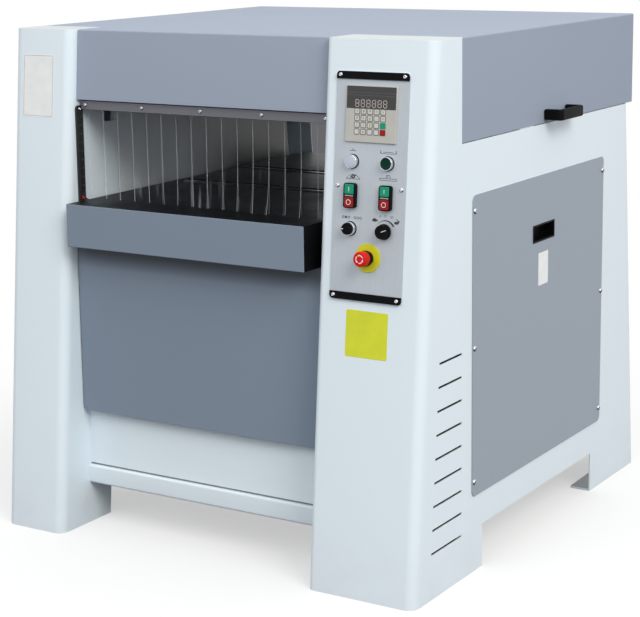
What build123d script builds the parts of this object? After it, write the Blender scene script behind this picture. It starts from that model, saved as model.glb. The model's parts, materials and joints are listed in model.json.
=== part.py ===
from build123d import *
from math import cos, hypot, pi, radians, sin
import os

# Thickness planer: folded-sheet cabinet, lifting hood, cutter head, rising table and operator panel.
# Frame: origin on the floor at the centre of the anchor holes, +X to the operator's right,
# +Y along the feed from the infeed mouth to the outfeed side, +Z up. All sizes in millimetres.

# Cabinet
BODY_HEIGHT = 1174.0
BASE_DEPTH = 1202.0
LEAN = 0.09                 # run of the front and rear faces per unit of height
SHEET = 3.0
OVERCUT = 1.0               # how far a cut runs past a face
LEFT_COLUMN_WIDTH = 170.0
RIGHT_COLUMN_WIDTH = 260.0
COLUMN_TOP_DEPTH = 108.0
COLUMN_RETURN = 184.0       # depth of a column's inner return
OUTER_FOLD = 25.0
LEFT_INNER_FOLD = 24.0
RIGHT_INNER_FOLD = 14.0
REAR_RETURN = 110.0
FRONT_LEG = 313.5
REAR_LEG = 293.5
LEG_HEIGHT = 98.0
FOOT_WIDTH = 48.0
FOOT_PLATE = 6.0
GUSSET_HEIGHT = 47.0
GUSSET_SHEET = 4.0
ANCHOR_SPACING_Y = 960.0
ANCHOR_HOLE = 14.0
BASE_PLATE = 8.0
BASE_CLEARANCE = 2.0        # base plate above the top of the leg cut-outs
BASE_PLATE_GAP = 1.0        # base plate behind the column returns
LOUVRES = 9
LOUVRE_PITCH = 50.6
LOUVRE_TOP = 505.7
LOUVRE_END = 216.0          # rear end of the slots behind the foot of the column
LOUVRE_MARGIN = 69.0        # front end of a slot behind the front face
LOUVRE_WIDTH = 5.5
CROSS_BAR_SETBACK = 109.0   # face of the bottom bar behind the foot of the columns
CROSS_BAR_HEIGHT = 46.0
CROSS_BAR_REACH = 10.5
CROSS_BAR_GAP = 0.8         # edge of the bar's fold from the panel
CROSS_TOP_GAP = 48.0        # front panel below the lowest table
CROSS_FOLD = 5.0
CROSS_FLANGE = 32.0
REAR_SILL_GAP = 20.0        # outfeed sill below the lowest table

# Side door and left cover
DOOR_FRONT = 261.0          # front edge behind the foot of the column
DOOR_REAR = 245.0           # rear edge ahead of the foot of the rear face
DOOR_BOTTOM = 173.0
DOOR_TOP = 116.0            # top edge below the hood
DOOR_RADIUS = 14.0
DOOR_SHEET = 2.5
DOOR_LAP = 28.0
GRIP_WIDTH = 112.0
GRIP_HEIGHT = 37.0
GRIP_DEPTH = 28.0
GRIP_WALL = 2.0
GRIP_OFFSET = 5.0           # centre of the finger cup behind the door's centre
GRIP_DROP = 132.0           # centre of the finger cup below the door's top
GRIP_FIT = 0.2

# Hood
HOOD_HEIGHT = 219.0
HOOD_OVERHANG = 18.45       # back of the hood behind the rear face at its edge
HOOD_BEND = 4.0
SEAM = 1.5
FASCIA_RECESS = 23.0
FASCIA_HEIGHT = 159.0
OUTLET_RADIUS = 75.0
OUTLET_LENGTH = 55.0
OUTLET_WALL = 3.0
OUTLET_FLANGE = 20.0
HANDLE_LENGTH = 126.0
HANDLE_REACH = 46.0
HANDLE_HEIGHT = 25.0
HANDLE_BAR = 13.0
HANDLE_LIFT = 7.0           # handle above the hood's lower edge
HINGE_LENGTH = 56.0
HINGE_RADIUS = 8.0
HINGE_PIN = 4.0
HINGE_LEAF = 4.0
HINGE_LEAF_HEIGHT = 60.0
HINGE_DROP = 11.0           # hinge axis below the hood's lower edge
HINGE_GAP = 0.4
PIN_FIT = 0.05

# Table
TABLE_WIDTH = 640.0
TABLE_LENGTH = 1010.0
TABLE_SIDE_GAP = 22.0       # table to a column
LEAST_CUT = 6.0             # table right up below the cutting circle
TABLE_REACH = 33.0          # apron ahead of the columns
TABLE_SLAB = 24.0
TABLE_RIM = 98.0
RIM_WALL = 14.0
RIB = 12.0
RIB_DEPTH = 55.0
RIB_SPACING = 240.0
CROSS_RIB_SPACING = 505.0
APRON_SHEET = 3.0
SKIRT_SETBACK = 95.5        # skirt behind the foot of the columns
SKIRT_SIDE_GAP = 3.0        # skirt to a column
SKIRT_SHEET = 2.0
SKIRT_HEIGHT = 403.0
SKIRT_FLANGE = 40.0
SKIRT_RADIUS = 12.0
STROKE_UP = 196.0
STROKE_DOWN = 48.0
BED_ROLLER = 25.0
BED_ROLLER_PROUD = 0.3
BED_ROLLER_SHAFT = 8.0
BED_POCKET_GAP = 3.0
BED_ROLLER_ROOM = 6.0       # end of a bed roller from the rim
BED_SHAFT_INSET = 3.5
POINTER_DEPTH = 4.0
POINTER_HEIGHT = 12.0
POINTER_LEAD = 8.0          # pointer ahead of the clamp bar
POINTER_GAP = 0.5           # pointer to the scale
POINTER_RISE = 7.0          # top of the pointer above the table

# Lift
PILLAR_INSET = 110.0        # pillar axis from the edge of the table
PILLAR_RADIUS = 40.0
PILLAR_BORE = 26.0
PILLAR_FLANGE = 65.0
PILLAR_FLANGE_THICK = 14.0
PILLAR_ROOM = 40.0          # pillar above the base plate with the table down
NUT_HEIGHT = 50.0
GUIDE_RADIUS = 56.0
GUIDE_FLANGE = 82.0
GUIDE_GRIP = 88.0           # guide above the pillar's foot with the table up
SCREW_RADIUS = 16.0
SCREW_SPARE = 60.0
JOURNAL_RADIUS = 12.5
LIFT_BUSH = 28.0
LIFT_BUSH_FLANGE = 36.0
LIFT_BUSH_HEIGHT = 14.0
LIFT_SPROCKET = 44.0
LIFT_DRIVE_SPROCKET = 30.0
LIFT_DRIVE_Y = -230.0
LIFT_DRIVE_SHAFT = 10.0
LIFT_CHAIN_DROP = 24.0      # chain below the base plate
LIFT_SHAFT_SEAT = 60.0      # drive shaft inside its gear box
LIFT_GEARBOX_WIDTH = 120.0
LIFT_GEARBOX_HEIGHT = 90.0
LIFT_MOTOR_RADIUS = 54.0
LIFT_MOTOR_LENGTH = 150.0
GEARBOX_CORNER = 10.0

# Cutter head
FRAME_PLATE = 12.0
FRAME_TOP_DROP = 64.0       # head frame below the top of the body
FRAME_LAP = 15.0
FRAME_REAR_GAP = 120.0
FRAME_WINDOW = 380.0
FRAME_WINDOW_LEAD = 95.0    # window's centre ahead of the cutter
FRAME_WINDOW_RADIUS = 40.0
CUTTER_DROP = 125.5         # cutter axis below the top of the body
CUTTER_RADIUS = 62.5        # cutting circle
KNIFE_PROUD = 2.5
KNIFE_THICK = 4.0
KNIFE_SLOT = 18.0
KNIFE_DEPTH = 28.0
KNIVES = 4
SHAFT_RADIUS = 25.0
HEAD_END_GAP = 20.0         # cutterblock and rollers from the columns
HOUSING_RADIUS = 50.0
HOUSING_FLANGE_RADIUS = 65.0
HOUSING_FLANGE_THICK = 14.0
SPIGOT_RADIUS = 35.0
SPIGOT_LENGTH = 14.0
ROLLER_RADIUS = 45.0
ROLLER_OFFSET = 130.0       # feed roller axis from the cutter axis
ROLLER_DROP = 3.0           # feed rollers below the cutting circle
ROLLER_SHAFT = 15.0
ROLLER_HOUSING_RADIUS = 31.0
ROLLER_FLANGE_RADIUS = 40.0
ROLLER_FLANGE_THICK = 10.0
ROLLER_TEETH = 40
TOOTH_DEPTH = 2.5
BREAKER_GAP = 3.5
BREAKER_THICK = 10.0
BREAKER_ARM = 10.0
BREAKER_START_ANGLE = 186.0
BREAKER_END_ANGLE = 236.0
PRESSURE_BAR_FRONT = 34.0
PRESSURE_BAR_REAR = 80.0
PRESSURE_BAR_SOLE = 14.0
PRESSURE_BAR_STEM = 12.0
PRESSURE_BAR_HEIGHT = 110.0
FINGER_LEAD = 130.0         # finger shaft ahead of the infeed roller
FINGER_RISE = 26.5          # finger shaft above the cutter axis
FINGER_SHAFT = 8.0
FINGER_HUB = 16.0
FINGER_TIP = 5.0
FINGER_LENGTH = 86.0
FINGER_THICK = 12.0
FINGER_PITCH = 41.3
RUN_FIT = 0.05              # radial clearance of running shafts
BODY_GAP = 0.3              # room between pieces that move apart

# Drives
PULLEY_WIDTH = 56.0
PULLEY_GAP = 14.0
CUTTER_PULLEY = 45.0
MOTOR_PULLEY = 70.0
PULLEY_RIM = 4.0
PULLEY_RIM_HEIGHT = 6.0
BELT_SIDE_GAP = 0.5
BELT_THICK = 8.0
MOTOR_Y = 280.0
MOTOR_HEIGHT = 222.0        # motor axis above the base plate
MOTOR_RADIUS = 110.0        # over the fins
MOTOR_CORE_RADIUS = 98.0
MOTOR_FINS = 24
MOTOR_FIN_THICK = 5.0
MOTOR_BELL_LENGTH = 45.0
MOTOR_BELL_CHAMFER = 18.0
MOTOR_FOOT_SPAN = 176.0
MOTOR_FOOT_WIDTH = 50.0
TERMINAL_WIDTH = 88.0
TERMINAL_HEIGHT = 150.0     # terminal box above the motor axis
MOTOR_LENGTH = 330.0
MOTOR_SHAFT = 19.0
MOTOR_NOSE = 40.0           # motor face from the right head frame
MOTOR_SHAFT_SEAT = 40.0     # shaft inside the motor
MOTOR_SHAFT_HOLE = 45.0
FEED_SPROCKET = 42.0
FEED_DRIVE_SPROCKET = 36.0
FEED_DRIVE_DROP = 268.0     # drive shaft below the feed rollers
FEED_DRIVE_SHAFT = 12.0
FEED_GEARBOX_WIDTH = 130.0
FEED_GEARBOX_HEIGHT = 166.0
FEED_GEARBOX_RISE = 36.0    # gear box above its shaft
FEED_GEARBOX_GAP = 22.0     # gear box from its sprocket
FEED_SHAFT_SEAT = 22.0      # drive shaft inside the gear box
FEED_MOTOR_RADIUS = 40.0
FEED_MOTOR_LENGTH = 130.0
FEED_MOTOR_WALL_GAP = 9.0   # gear box from the side wall
STUD_RADIUS = 8.0
STUD_INSET = 18.0
STUD_SPACING = 76.0
SPROCKET_WIDTH = 8.0
SPROCKET_GAP = 22.0         # feed sprockets from the roller bearing flanges
CHAIN_PITCH = 12.7
CHAIN_THICK = 7.0
CHAIN_GAP = 0.4

# Feed curtain and scale
CLAMP_GAP = 10.6            # clamp bar behind the fascia's face
CLAMP_THICK = 6.0
CLAMP_HEIGHT = 20.0
CLAMP_DROP = 3.0            # clamp bar below the fascia
HOLDER_THICK = 6.0
STRIP_THICK = 2.0
STRIP_PITCH = 41.3
STRIP_GAP = 0.6
STRIP_LIFT = 2.0            # strips above the table
CURTAIN_GAP = 1.0           # curtain to the scale and the right column
SCALE_WIDTH = 24.5
SCALE_THICK = 4.0
SCALE_LEAD = 17.0           # scale ahead of the clamp bar
SCALE_DROP = 11.0           # scale below the top of the clamp bar
SCALE_LENGTH = 311.0
SCALE_RADIUS = 8.0

# Operator panel, laid out on the leaning front of the right column
PANEL_WIDTH = 172.0
PANEL_HEIGHT = 474.0
PANEL_INSET = 31.0
PANEL_DROP = 302.7          # panel's centre below the top of the body
PANEL_SHEET = 2.5
PANEL_RADIUS = 8.0
DEVICE_OFFSET = 42.0
COUNTER_WIDTH = 121.0
COUNTER_HEIGHT = 117.0
COUNTER_DEPTH = 4.0
COUNTER_U = -0.6
COUNTER_V = 150.5
COUNTER_RADIUS = 2.5
COUNTER_CHAMFER = 1.0
WINDOW_MARGIN = 2.0
WINDOW_HEIGHT = 46.0
WINDOW_SHEET = 1.5
LAMP_V = 51.0
SWITCH_V = -19.0
KNOB_V = -88.5
STOP_V = -146.0
STOP_U = 3.0
BARREL_RADIUS = 11.0
BARREL_DEPTH = 20.0
BARREL_FIT = 0.2
BEZEL_RADIUS = 15.0
BEZEL_HEIGHT = 9.0
BEZEL_BORE = 9.5
BEZEL_FLOOR = 4.0
CAP_BORE = 12.6             # wide mouth of a bezel that takes a lens or a cap
CAP_SEAT = 1.5              # floor of the mouth above the panel
CAP_ROOM = 5.0              # room for the start button's travel
CAP_PROUD = 2.0
DOME_STEPS = 3              # flats that round off a turned cap
FRAME_WIDTH = 28.0
FRAME_HEIGHT = 52.0
FRAME_DEPTH = 10.0
FRAME_RADIUS = 6.0
FRAME_FLOOR = 2.0
KEY_WIDTH = 22.0
KEY_HEIGHT = 21.0
KEY_SPREAD = 13.5
KEY_ROOM = 4.0              # room behind a rocker-type push key
KEY_PROUD = 2.0
KEY_CHAMFER = 0.7
DIAL_BUSH_RADIUS = 13.0
DIAL_BUSH_HEIGHT = 2.0
KNOB_RADIUS = 16.5
KNOB_HEIGHT = 15.0
KNOB_SKIRT = 4.0
KNOB_STEP = 2.0
KNOB_CHAMFER = 1.0
KNOB_LUG = 8.0
KNOB_LUG_ANGLE = 205.0
SELECTOR_RADIUS = 12.5
SELECTOR_BASE = 4.0
SELECTOR_WING = 8.0
SELECTOR_WING_HEIGHT = 6.0
STOP_DISC = 30.0
STOP_DISC_SHEET = 2.0
STOP_COLLAR = 13.0
STOP_COLLAR_HEIGHT = 10.0
STOP_TRAVEL_ROOM = 6.0
STOP_SKIRT_GAP = 0.6        # skirt of the mushroom around the collar
STOP_HEAD = 16.0
STOP_HEAD_HEIGHT = 27.5
STOP_DOME = 3.5

# Places that follow from the sizes above
BODY_WIDTH = LEFT_COLUMN_WIDTH + TABLE_WIDTH + 2 * TABLE_SIDE_GAP + RIGHT_COLUMN_WIDTH
OUT = BODY_WIDTH / 2
FRONT = -BASE_DEPTH / 2
REAR = BASE_DEPTH / 2
LEFT_IN = -OUT + LEFT_COLUMN_WIDTH
RIGHT_IN = OUT - RIGHT_COLUMN_WIDTH
FEED_X = (LEFT_IN + RIGHT_IN) / 2
FEED_PLANE = Plane.YZ.offset(FEED_X)
HOOD_EDGE = BODY_HEIGHT - HOOD_HEIGHT
FASCIA_BOTTOM = BODY_HEIGHT - FASCIA_HEIGHT
SIDE_TOP = HOOD_EDGE - SEAM
OUTLET_Z = (HOOD_EDGE + BODY_HEIGHT) / 2
BASE_Z = LEG_HEIGHT + BASE_CLEARANCE
BASE_TOP = BASE_Z + BASE_PLATE
FRAME_INNER = RIGHT_IN + SHEET
FRAME_OUTER = FRAME_INNER + FRAME_PLATE
FRAME_TOP = BODY_HEIGHT - FRAME_TOP_DROP
CUTTER_Z = BODY_HEIGHT - CUTTER_DROP
CUT_BOTTOM = CUTTER_Z - CUTTER_RADIUS
PRESSURE_BAR_TOP = CUT_BOTTOM + PRESSURE_BAR_HEIGHT
FINGER_Y = -ROLLER_OFFSET - FINGER_LEAD
FINGER_Z = CUTTER_Z + FINGER_RISE
ROLLER_Z = CUT_BOTTOM - ROLLER_DROP + ROLLER_RADIUS
FEED_DRIVE_Z = ROLLER_Z - FEED_DRIVE_DROP
MOTOR_Z = BASE_TOP + MOTOR_HEIGHT
HEAD_X = (LEFT_IN + HEAD_END_GAP, RIGHT_IN - HEAD_END_GAP)
FINGERS = int((HEAD_X[1] - HEAD_X[0]) / FINGER_PITCH) + 1
TABLE_TOP = CUT_BOTTOM - LEAST_CUT - STROKE_UP
TABLE_LEFT = FEED_X - TABLE_WIDTH / 2
TABLE_RIGHT = FEED_X + TABLE_WIDTH / 2
SLAB_BOTTOM = TABLE_TOP - TABLE_SLAB
RIM_BOTTOM = TABLE_TOP - TABLE_RIM
SKIRT_BOTTOM = RIM_BOTTOM - SKIRT_HEIGHT
CROSS_TOP = RIM_BOTTOM - STROKE_DOWN - CROSS_TOP_GAP
PILLAR_BOTTOM = BASE_TOP + STROKE_DOWN + PILLAR_ROOM
PILLAR_X = (TABLE_LEFT + PILLAR_INSET, TABLE_RIGHT - PILLAR_INSET)
GUIDE_TOP = PILLAR_BOTTOM + STROKE_UP + GUIDE_GRIP
CLAMP_TOP = FASCIA_BOTTOM - CLAMP_DROP
CLAMP_BOTTOM = CLAMP_TOP - CLAMP_HEIGHT
SCALE_TOP = CLAMP_TOP - SCALE_DROP
SCALE_BOTTOM = SCALE_TOP - SCALE_LENGTH
CURTAIN_LEFT = LEFT_IN + SCALE_THICK + CURTAIN_GAP
CURTAIN_RIGHT = RIGHT_IN - CURTAIN_GAP
STRIPS = int((CURTAIN_RIGHT - CURTAIN_LEFT) / STRIP_PITCH)
PANEL_Z = BODY_HEIGHT - PANEL_DROP


def front_y(z):
    """Front face of the columns at height z."""
    return FRONT + LEAN * z


def rear_y(z):
    """Rear face of the side cabinets at height z."""
    return REAR - LEAN * z


COLUMN_BACK = front_y(BODY_HEIGHT) + COLUMN_TOP_DEPTH
HOOD_FRONT = COLUMN_BACK + SEAM
APRON_FACE = front_y(TABLE_TOP) - TABLE_REACH
TABLE_FRONT = APRON_FACE + APRON_SHEET
TABLE_REAR = APRON_FACE + TABLE_LENGTH
CLAMP_FACE = front_y(FASCIA_BOTTOM) + FASCIA_RECESS + CLAMP_GAP
STRIP_FACE = CLAMP_FACE + CLAMP_THICK
HOLDER_FACE = STRIP_FACE + STRIP_THICK
HOOD_REAR = rear_y(HOOD_EDGE) + HOOD_OVERHANG
HINGE_Y = HOOD_REAR + HINGE_RADIUS
HINGE_Z = HOOD_EDGE - HINGE_DROP
HINGE_X = OUT - OUTER_FOLD - HINGE_LENGTH / 2 - SHEET
PANEL_X = RIGHT_IN + PANEL_INSET + PANEL_WIDTH / 2
PANEL = Plane(origin=(PANEL_X, front_y(PANEL_Z), PANEL_Z), x_dir=(1, 0, 0), z_dir=(0, -1, LEAN))
DOOR_WIDTH = BASE_DEPTH - DOOR_FRONT - DOOR_REAR
DOOR_HEIGHT = HOOD_EDGE - DOOR_TOP - DOOR_BOTTOM
DOOR_Y = FRONT + DOOR_FRONT + DOOR_WIDTH / 2
DOOR_Z = DOOR_BOTTOM + DOOR_HEIGHT / 2


# Shared building steps
def block(x, y, z):
    """Box between pairs of limits."""
    size = (x[1] - x[0], y[1] - y[0], z[1] - z[0])
    return Pos((x[0] + x[1]) / 2, (y[0] + y[1]) / 2, (z[0] + z[1]) / 2) * Box(*size)


def rod(radius, x, y, z):
    """Cylinder along X between the limits x."""
    return Pos((x[0] + x[1]) / 2, y, z) * Rot(0, 90, 0) * Cylinder(radius, x[1] - x[0])


def post(radius, x, y, z):
    """Upright cylinder between the limits z."""
    return Pos(x, y, (z[0] + z[1]) / 2) * Cylinder(radius, z[1] - z[0])


def outline(*points):
    """Face inside a closed line of points."""
    return make_face(Polyline(*points, close=True))


def section_x(face, x):
    """Extrude a (Y, Z) section along X between the limits x."""
    return extrude(Plane.YZ.offset(x[0]) * face, amount=x[1] - x[0])


def lean_extrude(face, z, lean):
    """Extrude a floor plan between two heights, leaning in Y."""
    start = Pos(0, lean * z[0], z[0]) * face
    return extrude(start, amount=(z[1] - z[0]) * hypot(1, lean), dir=(0, lean, 1))


def group(*shapes):
    """Separate solids kept in one node."""
    return Compound([solid for shape in shapes for solid in shape.solids()])


def across(shape):
    """A shape with its mirror image on the other side of the feed."""
    return group(shape, mirror(shape, about=FEED_PLANE))


def sprocket_face(tip_radius):
    """Toothed wheel outline with straight-sided teeth."""
    root_radius = tip_radius - CHAIN_THICK
    teeth = round(pi * (tip_radius + root_radius) / CHAIN_PITCH)
    step = 2 * pi / teeth
    tooth_form = ((-0.32, root_radius), (-0.12, tip_radius), (0.12, tip_radius), (0.32, root_radius))
    points = []
    for tooth in range(teeth):
        for share, radius in tooth_form:
            angle = (tooth + share) * step
            points.append((radius * cos(angle), radius * sin(angle)))
    return outline(*points)


def loop_face(wheels, gap, thick):
    """Endless band around wheels given as (x, y, radius)."""
    def hull(extra):
        rims = [edge for x, y, radius in wheels for edge in (Pos(x, y) * Circle(radius + extra)).edges()]
        return make_hull(rims)
    return hull(gap + thick) - hull(gap)


# Cabinet
def column_plan(width, depth, fold, inset):
    """Plan of the right-hand column at the floor; an inset plan runs out at the back."""
    left = OUT - width + inset
    right = OUT - inset
    near = FRONT + inset
    far = FRONT + depth + inset
    face = outline((left, far), (left, near), (right, near), (right, far))
    face = fillet(face.vertices().group_by(Axis.Y)[0].sort_by(Axis.X)[0], fold - inset)
    return fillet(face.vertices().group_by(Axis.Y)[0].sort_by(Axis.X)[-1], OUTER_FOLD - inset)


def rear_plan(inset):
    """Plan of the right-hand rear fold at the floor."""
    left = OUT - REAR_RETURN - inset
    right = OUT - inset
    near = REAR - REAR_RETURN - inset
    far = REAR - inset
    face = outline((left, near), (right, near), (right, far), (left, far))
    return fillet(face.vertices().group_by(Axis.Y)[-1].sort_by(Axis.X)[-1], OUTER_FOLD - inset)


def foot(notch, far):
    """Foot plate with its anchor hole and a gusset at the edge of the leg cut-out."""
    inner = OUT - SHEET - FOOT_WIDTH
    outer = OUT - SHEET
    into_leg = 1 if far > notch else -1
    plate = block((inner, outer), (min(notch, far), max(notch, far)), (0, FOOT_PLATE))
    anchor_y = into_leg * ANCHOR_SPACING_Y / 2
    plate -= post(ANCHOR_HOLE / 2, (inner + outer) / 2, anchor_y, (-OVERCUT, FOOT_PLATE + OVERCUT))
    web = outline((outer, FOOT_PLATE), (inner, FOOT_PLATE), (outer, GUSSET_HEIGHT))
    gusset = extrude(Plane.XZ.offset(-notch) * web, amount=-into_leg * GUSSET_SHEET)
    return plate + gusset


def side_panel(column_width, fold):
    """Right-hand side cabinet: column, side wall, rear return and feet in one weldment."""
    plan = column_plan(column_width, COLUMN_RETURN, fold, 0)
    shell = plan - column_plan(column_width, COLUMN_RETURN, fold, SHEET)
    panel = lean_extrude(shell, (0, BODY_HEIGHT), LEAN)
    cap = column_plan(column_width, COLUMN_TOP_DEPTH, fold, 0)
    panel += lean_extrude(cap, (BODY_HEIGHT - SHEET, BODY_HEIGHT), LEAN)
    inner = OUT - column_width
    cut_x = (inner - OVERCUT, OUT + OVERCUT)
    panel -= block(cut_x, (COLUMN_BACK, 0), (SIDE_TOP, BODY_HEIGHT + OVERCUT))
    panel += block((inner, OUT), (COLUMN_BACK - SHEET, COLUMN_BACK), (SIDE_TOP - OUTER_FOLD, BODY_HEIGHT))
    lap = COLUMN_RETURN / 2
    wall = outline(
        (front_y(0) + lap, 0),
        (rear_y(0) - REAR_RETURN / 2, 0),
        (rear_y(SIDE_TOP) - REAR_RETURN / 2, SIDE_TOP),
        (front_y(SIDE_TOP) + lap, SIDE_TOP),
    )
    panel += section_x(wall, (OUT - SHEET, OUT))
    panel += lean_extrude(rear_plan(0) - rear_plan(SHEET), (0, SIDE_TOP), -LEAN)
    through = (OUT - SHEET - OVERCUT, OUT + OVERCUT)
    panel -= block(through, (FRONT + FRONT_LEG, REAR - REAR_LEG), (-OVERCUT, LEG_HEIGHT))
    window = Pos(DOOR_Y, DOOR_Z) * RectangleRounded(
        DOOR_WIDTH - 2 * DOOR_LAP, DOOR_HEIGHT - 2 * DOOR_LAP, DOOR_RADIUS
    )
    panel -= section_x(window, through)
    clear = OUTER_FOLD + SHEET
    panel += foot(FRONT + FRONT_LEG, FRONT + clear)
    panel += foot(REAR - REAR_LEG, REAR - clear)
    return panel


def louvre_slots():
    """Row of cooling slots low on the right side wall."""
    slots = []
    end = FRONT + LOUVRE_END
    for row in range(LOUVRES):
        z = LOUVRE_TOP - row * LOUVRE_PITCH
        start = front_y(z) + LOUVRE_MARGIN
        slot_z = (z - LOUVRE_WIDTH / 2, z + LOUVRE_WIDTH / 2)
        slots.append(block((OUT - SHEET - OVERCUT, OUT + OVERCUT), (start, end), slot_z))
    return slots


def left_side_panel():
    """Left side cabinet with the narrower column."""
    return mirror(side_panel(LEFT_COLUMN_WIDTH, LEFT_INNER_FOLD), about=Plane.YZ)


def right_side_panel():
    """Right side cabinet with louvres and the holes for the operator's devices."""
    panel = side_panel(RIGHT_COLUMN_WIDTH, RIGHT_INNER_FOLD) - louvre_slots()
    return panel - [on_panel(u, v, barrel_hole()) for u, v in BARRELS]


def front_cross_panel():
    """Low front panel between the columns, folded up to a round-edged bar at its bottom."""
    bar = FRONT + CROSS_BAR_SETBACK + SHEET / 2
    face = bar + CROSS_BAR_REACH
    low = LEG_HEIGHT + SHEET / 2
    high = LEG_HEIGHT + CROSS_BAR_HEIGHT - SHEET / 2
    path = FilletPolyline(
        (face + CROSS_FLANGE, CROSS_TOP),
        (face, CROSS_TOP),
        (face, low),
        (bar, low),
        (bar, high),
        (face - SHEET / 2 - CROSS_BAR_GAP, high),
        radius=CROSS_FOLD,
    )
    return section_x(trace(path, line_width=SHEET), (LEFT_IN, RIGHT_IN))


def rear_panel():
    """Leaning back panel inside the rear returns, cut out for the outfeed."""
    half = OUT - OUTER_FOLD - SHEET
    plan = Pos(0, REAR - 1.5 * SHEET) * Rectangle(2 * half, SHEET)
    panel = lean_extrude(plan, (BASE_Z, SIDE_TOP - SHEET), -LEAN)
    sill = RIM_BOTTOM - STROKE_DOWN - REAR_SILL_GAP
    return panel - block((LEFT_IN, RIGHT_IN), (0, REAR), (sill, SIDE_TOP))


def base_plate():
    """Thick plate that ties the side cabinets and carries the lift, the motor and the frames."""
    near = front_y(BASE_TOP) + COLUMN_RETURN + BASE_PLATE_GAP
    far = rear_y(BASE_TOP) - 2 * SHEET - OUTER_FOLD
    plate = block((SHEET - OUT, OUT - SHEET), (near, far), (BASE_Z, BASE_TOP))
    for x in PILLAR_X:
        plate -= post(LIFT_BUSH, x, 0, (BASE_Z - OVERCUT, BASE_TOP + OVERCUT))
    hole_z = (BASE_Z - OVERCUT, BASE_TOP + OVERCUT)
    return plate - post(LIFT_DRIVE_SHAFT + SHEET, FEED_X, LIFT_DRIVE_Y, hole_z)


def cover(sheet_x):
    """Rounded side cover over the opening of a side wall."""
    return section_x(Pos(DOOR_Y, DOOR_Z) * RectangleRounded(DOOR_WIDTH, DOOR_HEIGHT, DOOR_RADIUS), sheet_x)


def grip_section(grow):
    """Finger cup outline on the side wall, grown all round."""
    place = Pos(DOOR_Y + GRIP_OFFSET, DOOR_BOTTOM + DOOR_HEIGHT - GRIP_DROP)
    return place * Rectangle(GRIP_WIDTH + 2 * grow, GRIP_HEIGHT + 2 * grow)


def side_covers():
    """Right door with its finger opening, and the plain cover on the left."""
    door = cover((OUT, OUT + DOOR_SHEET))
    plain = mirror(door, about=Plane.YZ)
    door -= section_x(grip_section(0), (OUT - OVERCUT, OUT + DOOR_SHEET + OVERCUT))
    return group(door, plain)


def door_grip_cup():
    """Moulded finger cup in the door, with a thin flange on its face."""
    face = OUT + DOOR_SHEET
    cup = section_x(grip_section(-GRIP_FIT), (face - GRIP_DEPTH, face))
    cup += section_x(grip_section(GRIP_WALL), (face, face + GRIP_WALL / 2))
    return cup - section_x(grip_section(-GRIP_WALL), (face - GRIP_DEPTH + GRIP_WALL, face + GRIP_WALL))


# Operator panel
BARRELS = (
    (-DEVICE_OFFSET, LAMP_V),
    (DEVICE_OFFSET, LAMP_V),
    (-DEVICE_OFFSET, KNOB_V),
    (DEVICE_OFFSET, KNOB_V),
    (STOP_U, STOP_V),
)
BEZEL_TOP = PANEL_SHEET + BEZEL_HEIGHT
DISC_TOP = PANEL_SHEET + STOP_DISC_SHEET
COLLAR_TOP = DISC_TOP + STOP_COLLAR_HEIGHT
FRAME_FACE = PANEL_SHEET + FRAME_DEPTH
BORE_FLOOR = BEZEL_FLOOR - BARREL_DEPTH
STEM_RADIUS = BEZEL_BORE - BODY_GAP
STEM_END = BORE_FLOOR / 2
CAP_FLOOR = PANEL_SHEET + CAP_SEAT
CAP_RADIUS = CAP_BORE - BODY_GAP
WINDOW_WIDTH = COUNTER_WIDTH - 2 * WINDOW_MARGIN
WINDOW_RISE = (COUNTER_HEIGHT - WINDOW_HEIGHT) / 2 - WINDOW_MARGIN


def on_panel(u, v, shape):
    """Place a shape at (u, v) on the front of the right column, its own Z pointing outwards."""
    return Location(PANEL) * Pos(u, v, 0) * shape


def disc(radius, low, high):
    """Round slice between two heights over the column's front."""
    return Pos(0, 0, (low + high) / 2) * Cylinder(radius, high - low)


def slab(width, height, radius, low, high):
    """Rounded plate between two heights over the column's front."""
    return extrude(Pos(0, 0, low) * RectangleRounded(width, height, radius), amount=high - low)


def barrel_hole():
    """Hole for a device barrel through the panel plate and the column sheet."""
    return disc(BARREL_RADIUS + BARREL_FIT, -2 * SHEET, 2 * SHEET)


def control_panel_plate():
    """Face plate of the operator panel."""
    plate = on_panel(0, 0, slab(PANEL_WIDTH, PANEL_HEIGHT, PANEL_RADIUS, 0, PANEL_SHEET))
    return plate - [on_panel(u, v, barrel_hole()) for u, v in BARRELS]


def counter_housing():
    """Housing of the position counter, with a pocket for its window."""
    top = PANEL_SHEET + COUNTER_DEPTH
    body = slab(COUNTER_WIDTH, COUNTER_HEIGHT, COUNTER_RADIUS, PANEL_SHEET, top)
    body = chamfer(body.faces().sort_by(Axis.Z)[-1].edges(), COUNTER_CHAMFER)
    pocket = slab(WINDOW_WIDTH, WINDOW_HEIGHT, WINDOW_SHEET, top - WINDOW_SHEET, top + OVERCUT)
    return on_panel(COUNTER_U, COUNTER_V, body - Pos(0, WINDOW_RISE) * pocket)


def counter_window():
    """Dark window over the counter's digits."""
    top = PANEL_SHEET + COUNTER_DEPTH
    sheet = slab(WINDOW_WIDTH, WINDOW_HEIGHT, WINDOW_SHEET, top - WINDOW_SHEET, top)
    return on_panel(COUNTER_U, COUNTER_V + WINDOW_RISE, sheet)


def bezel(base, radius, height):
    """Device body: ring on the panel, barrel through it and a closed blind bore."""
    body = disc(radius, base, base + height) + disc(BARREL_RADIUS, -BARREL_DEPTH, base)
    return body - disc(BEZEL_BORE, BORE_FLOOR, base + height + OVERCUT)


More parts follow.
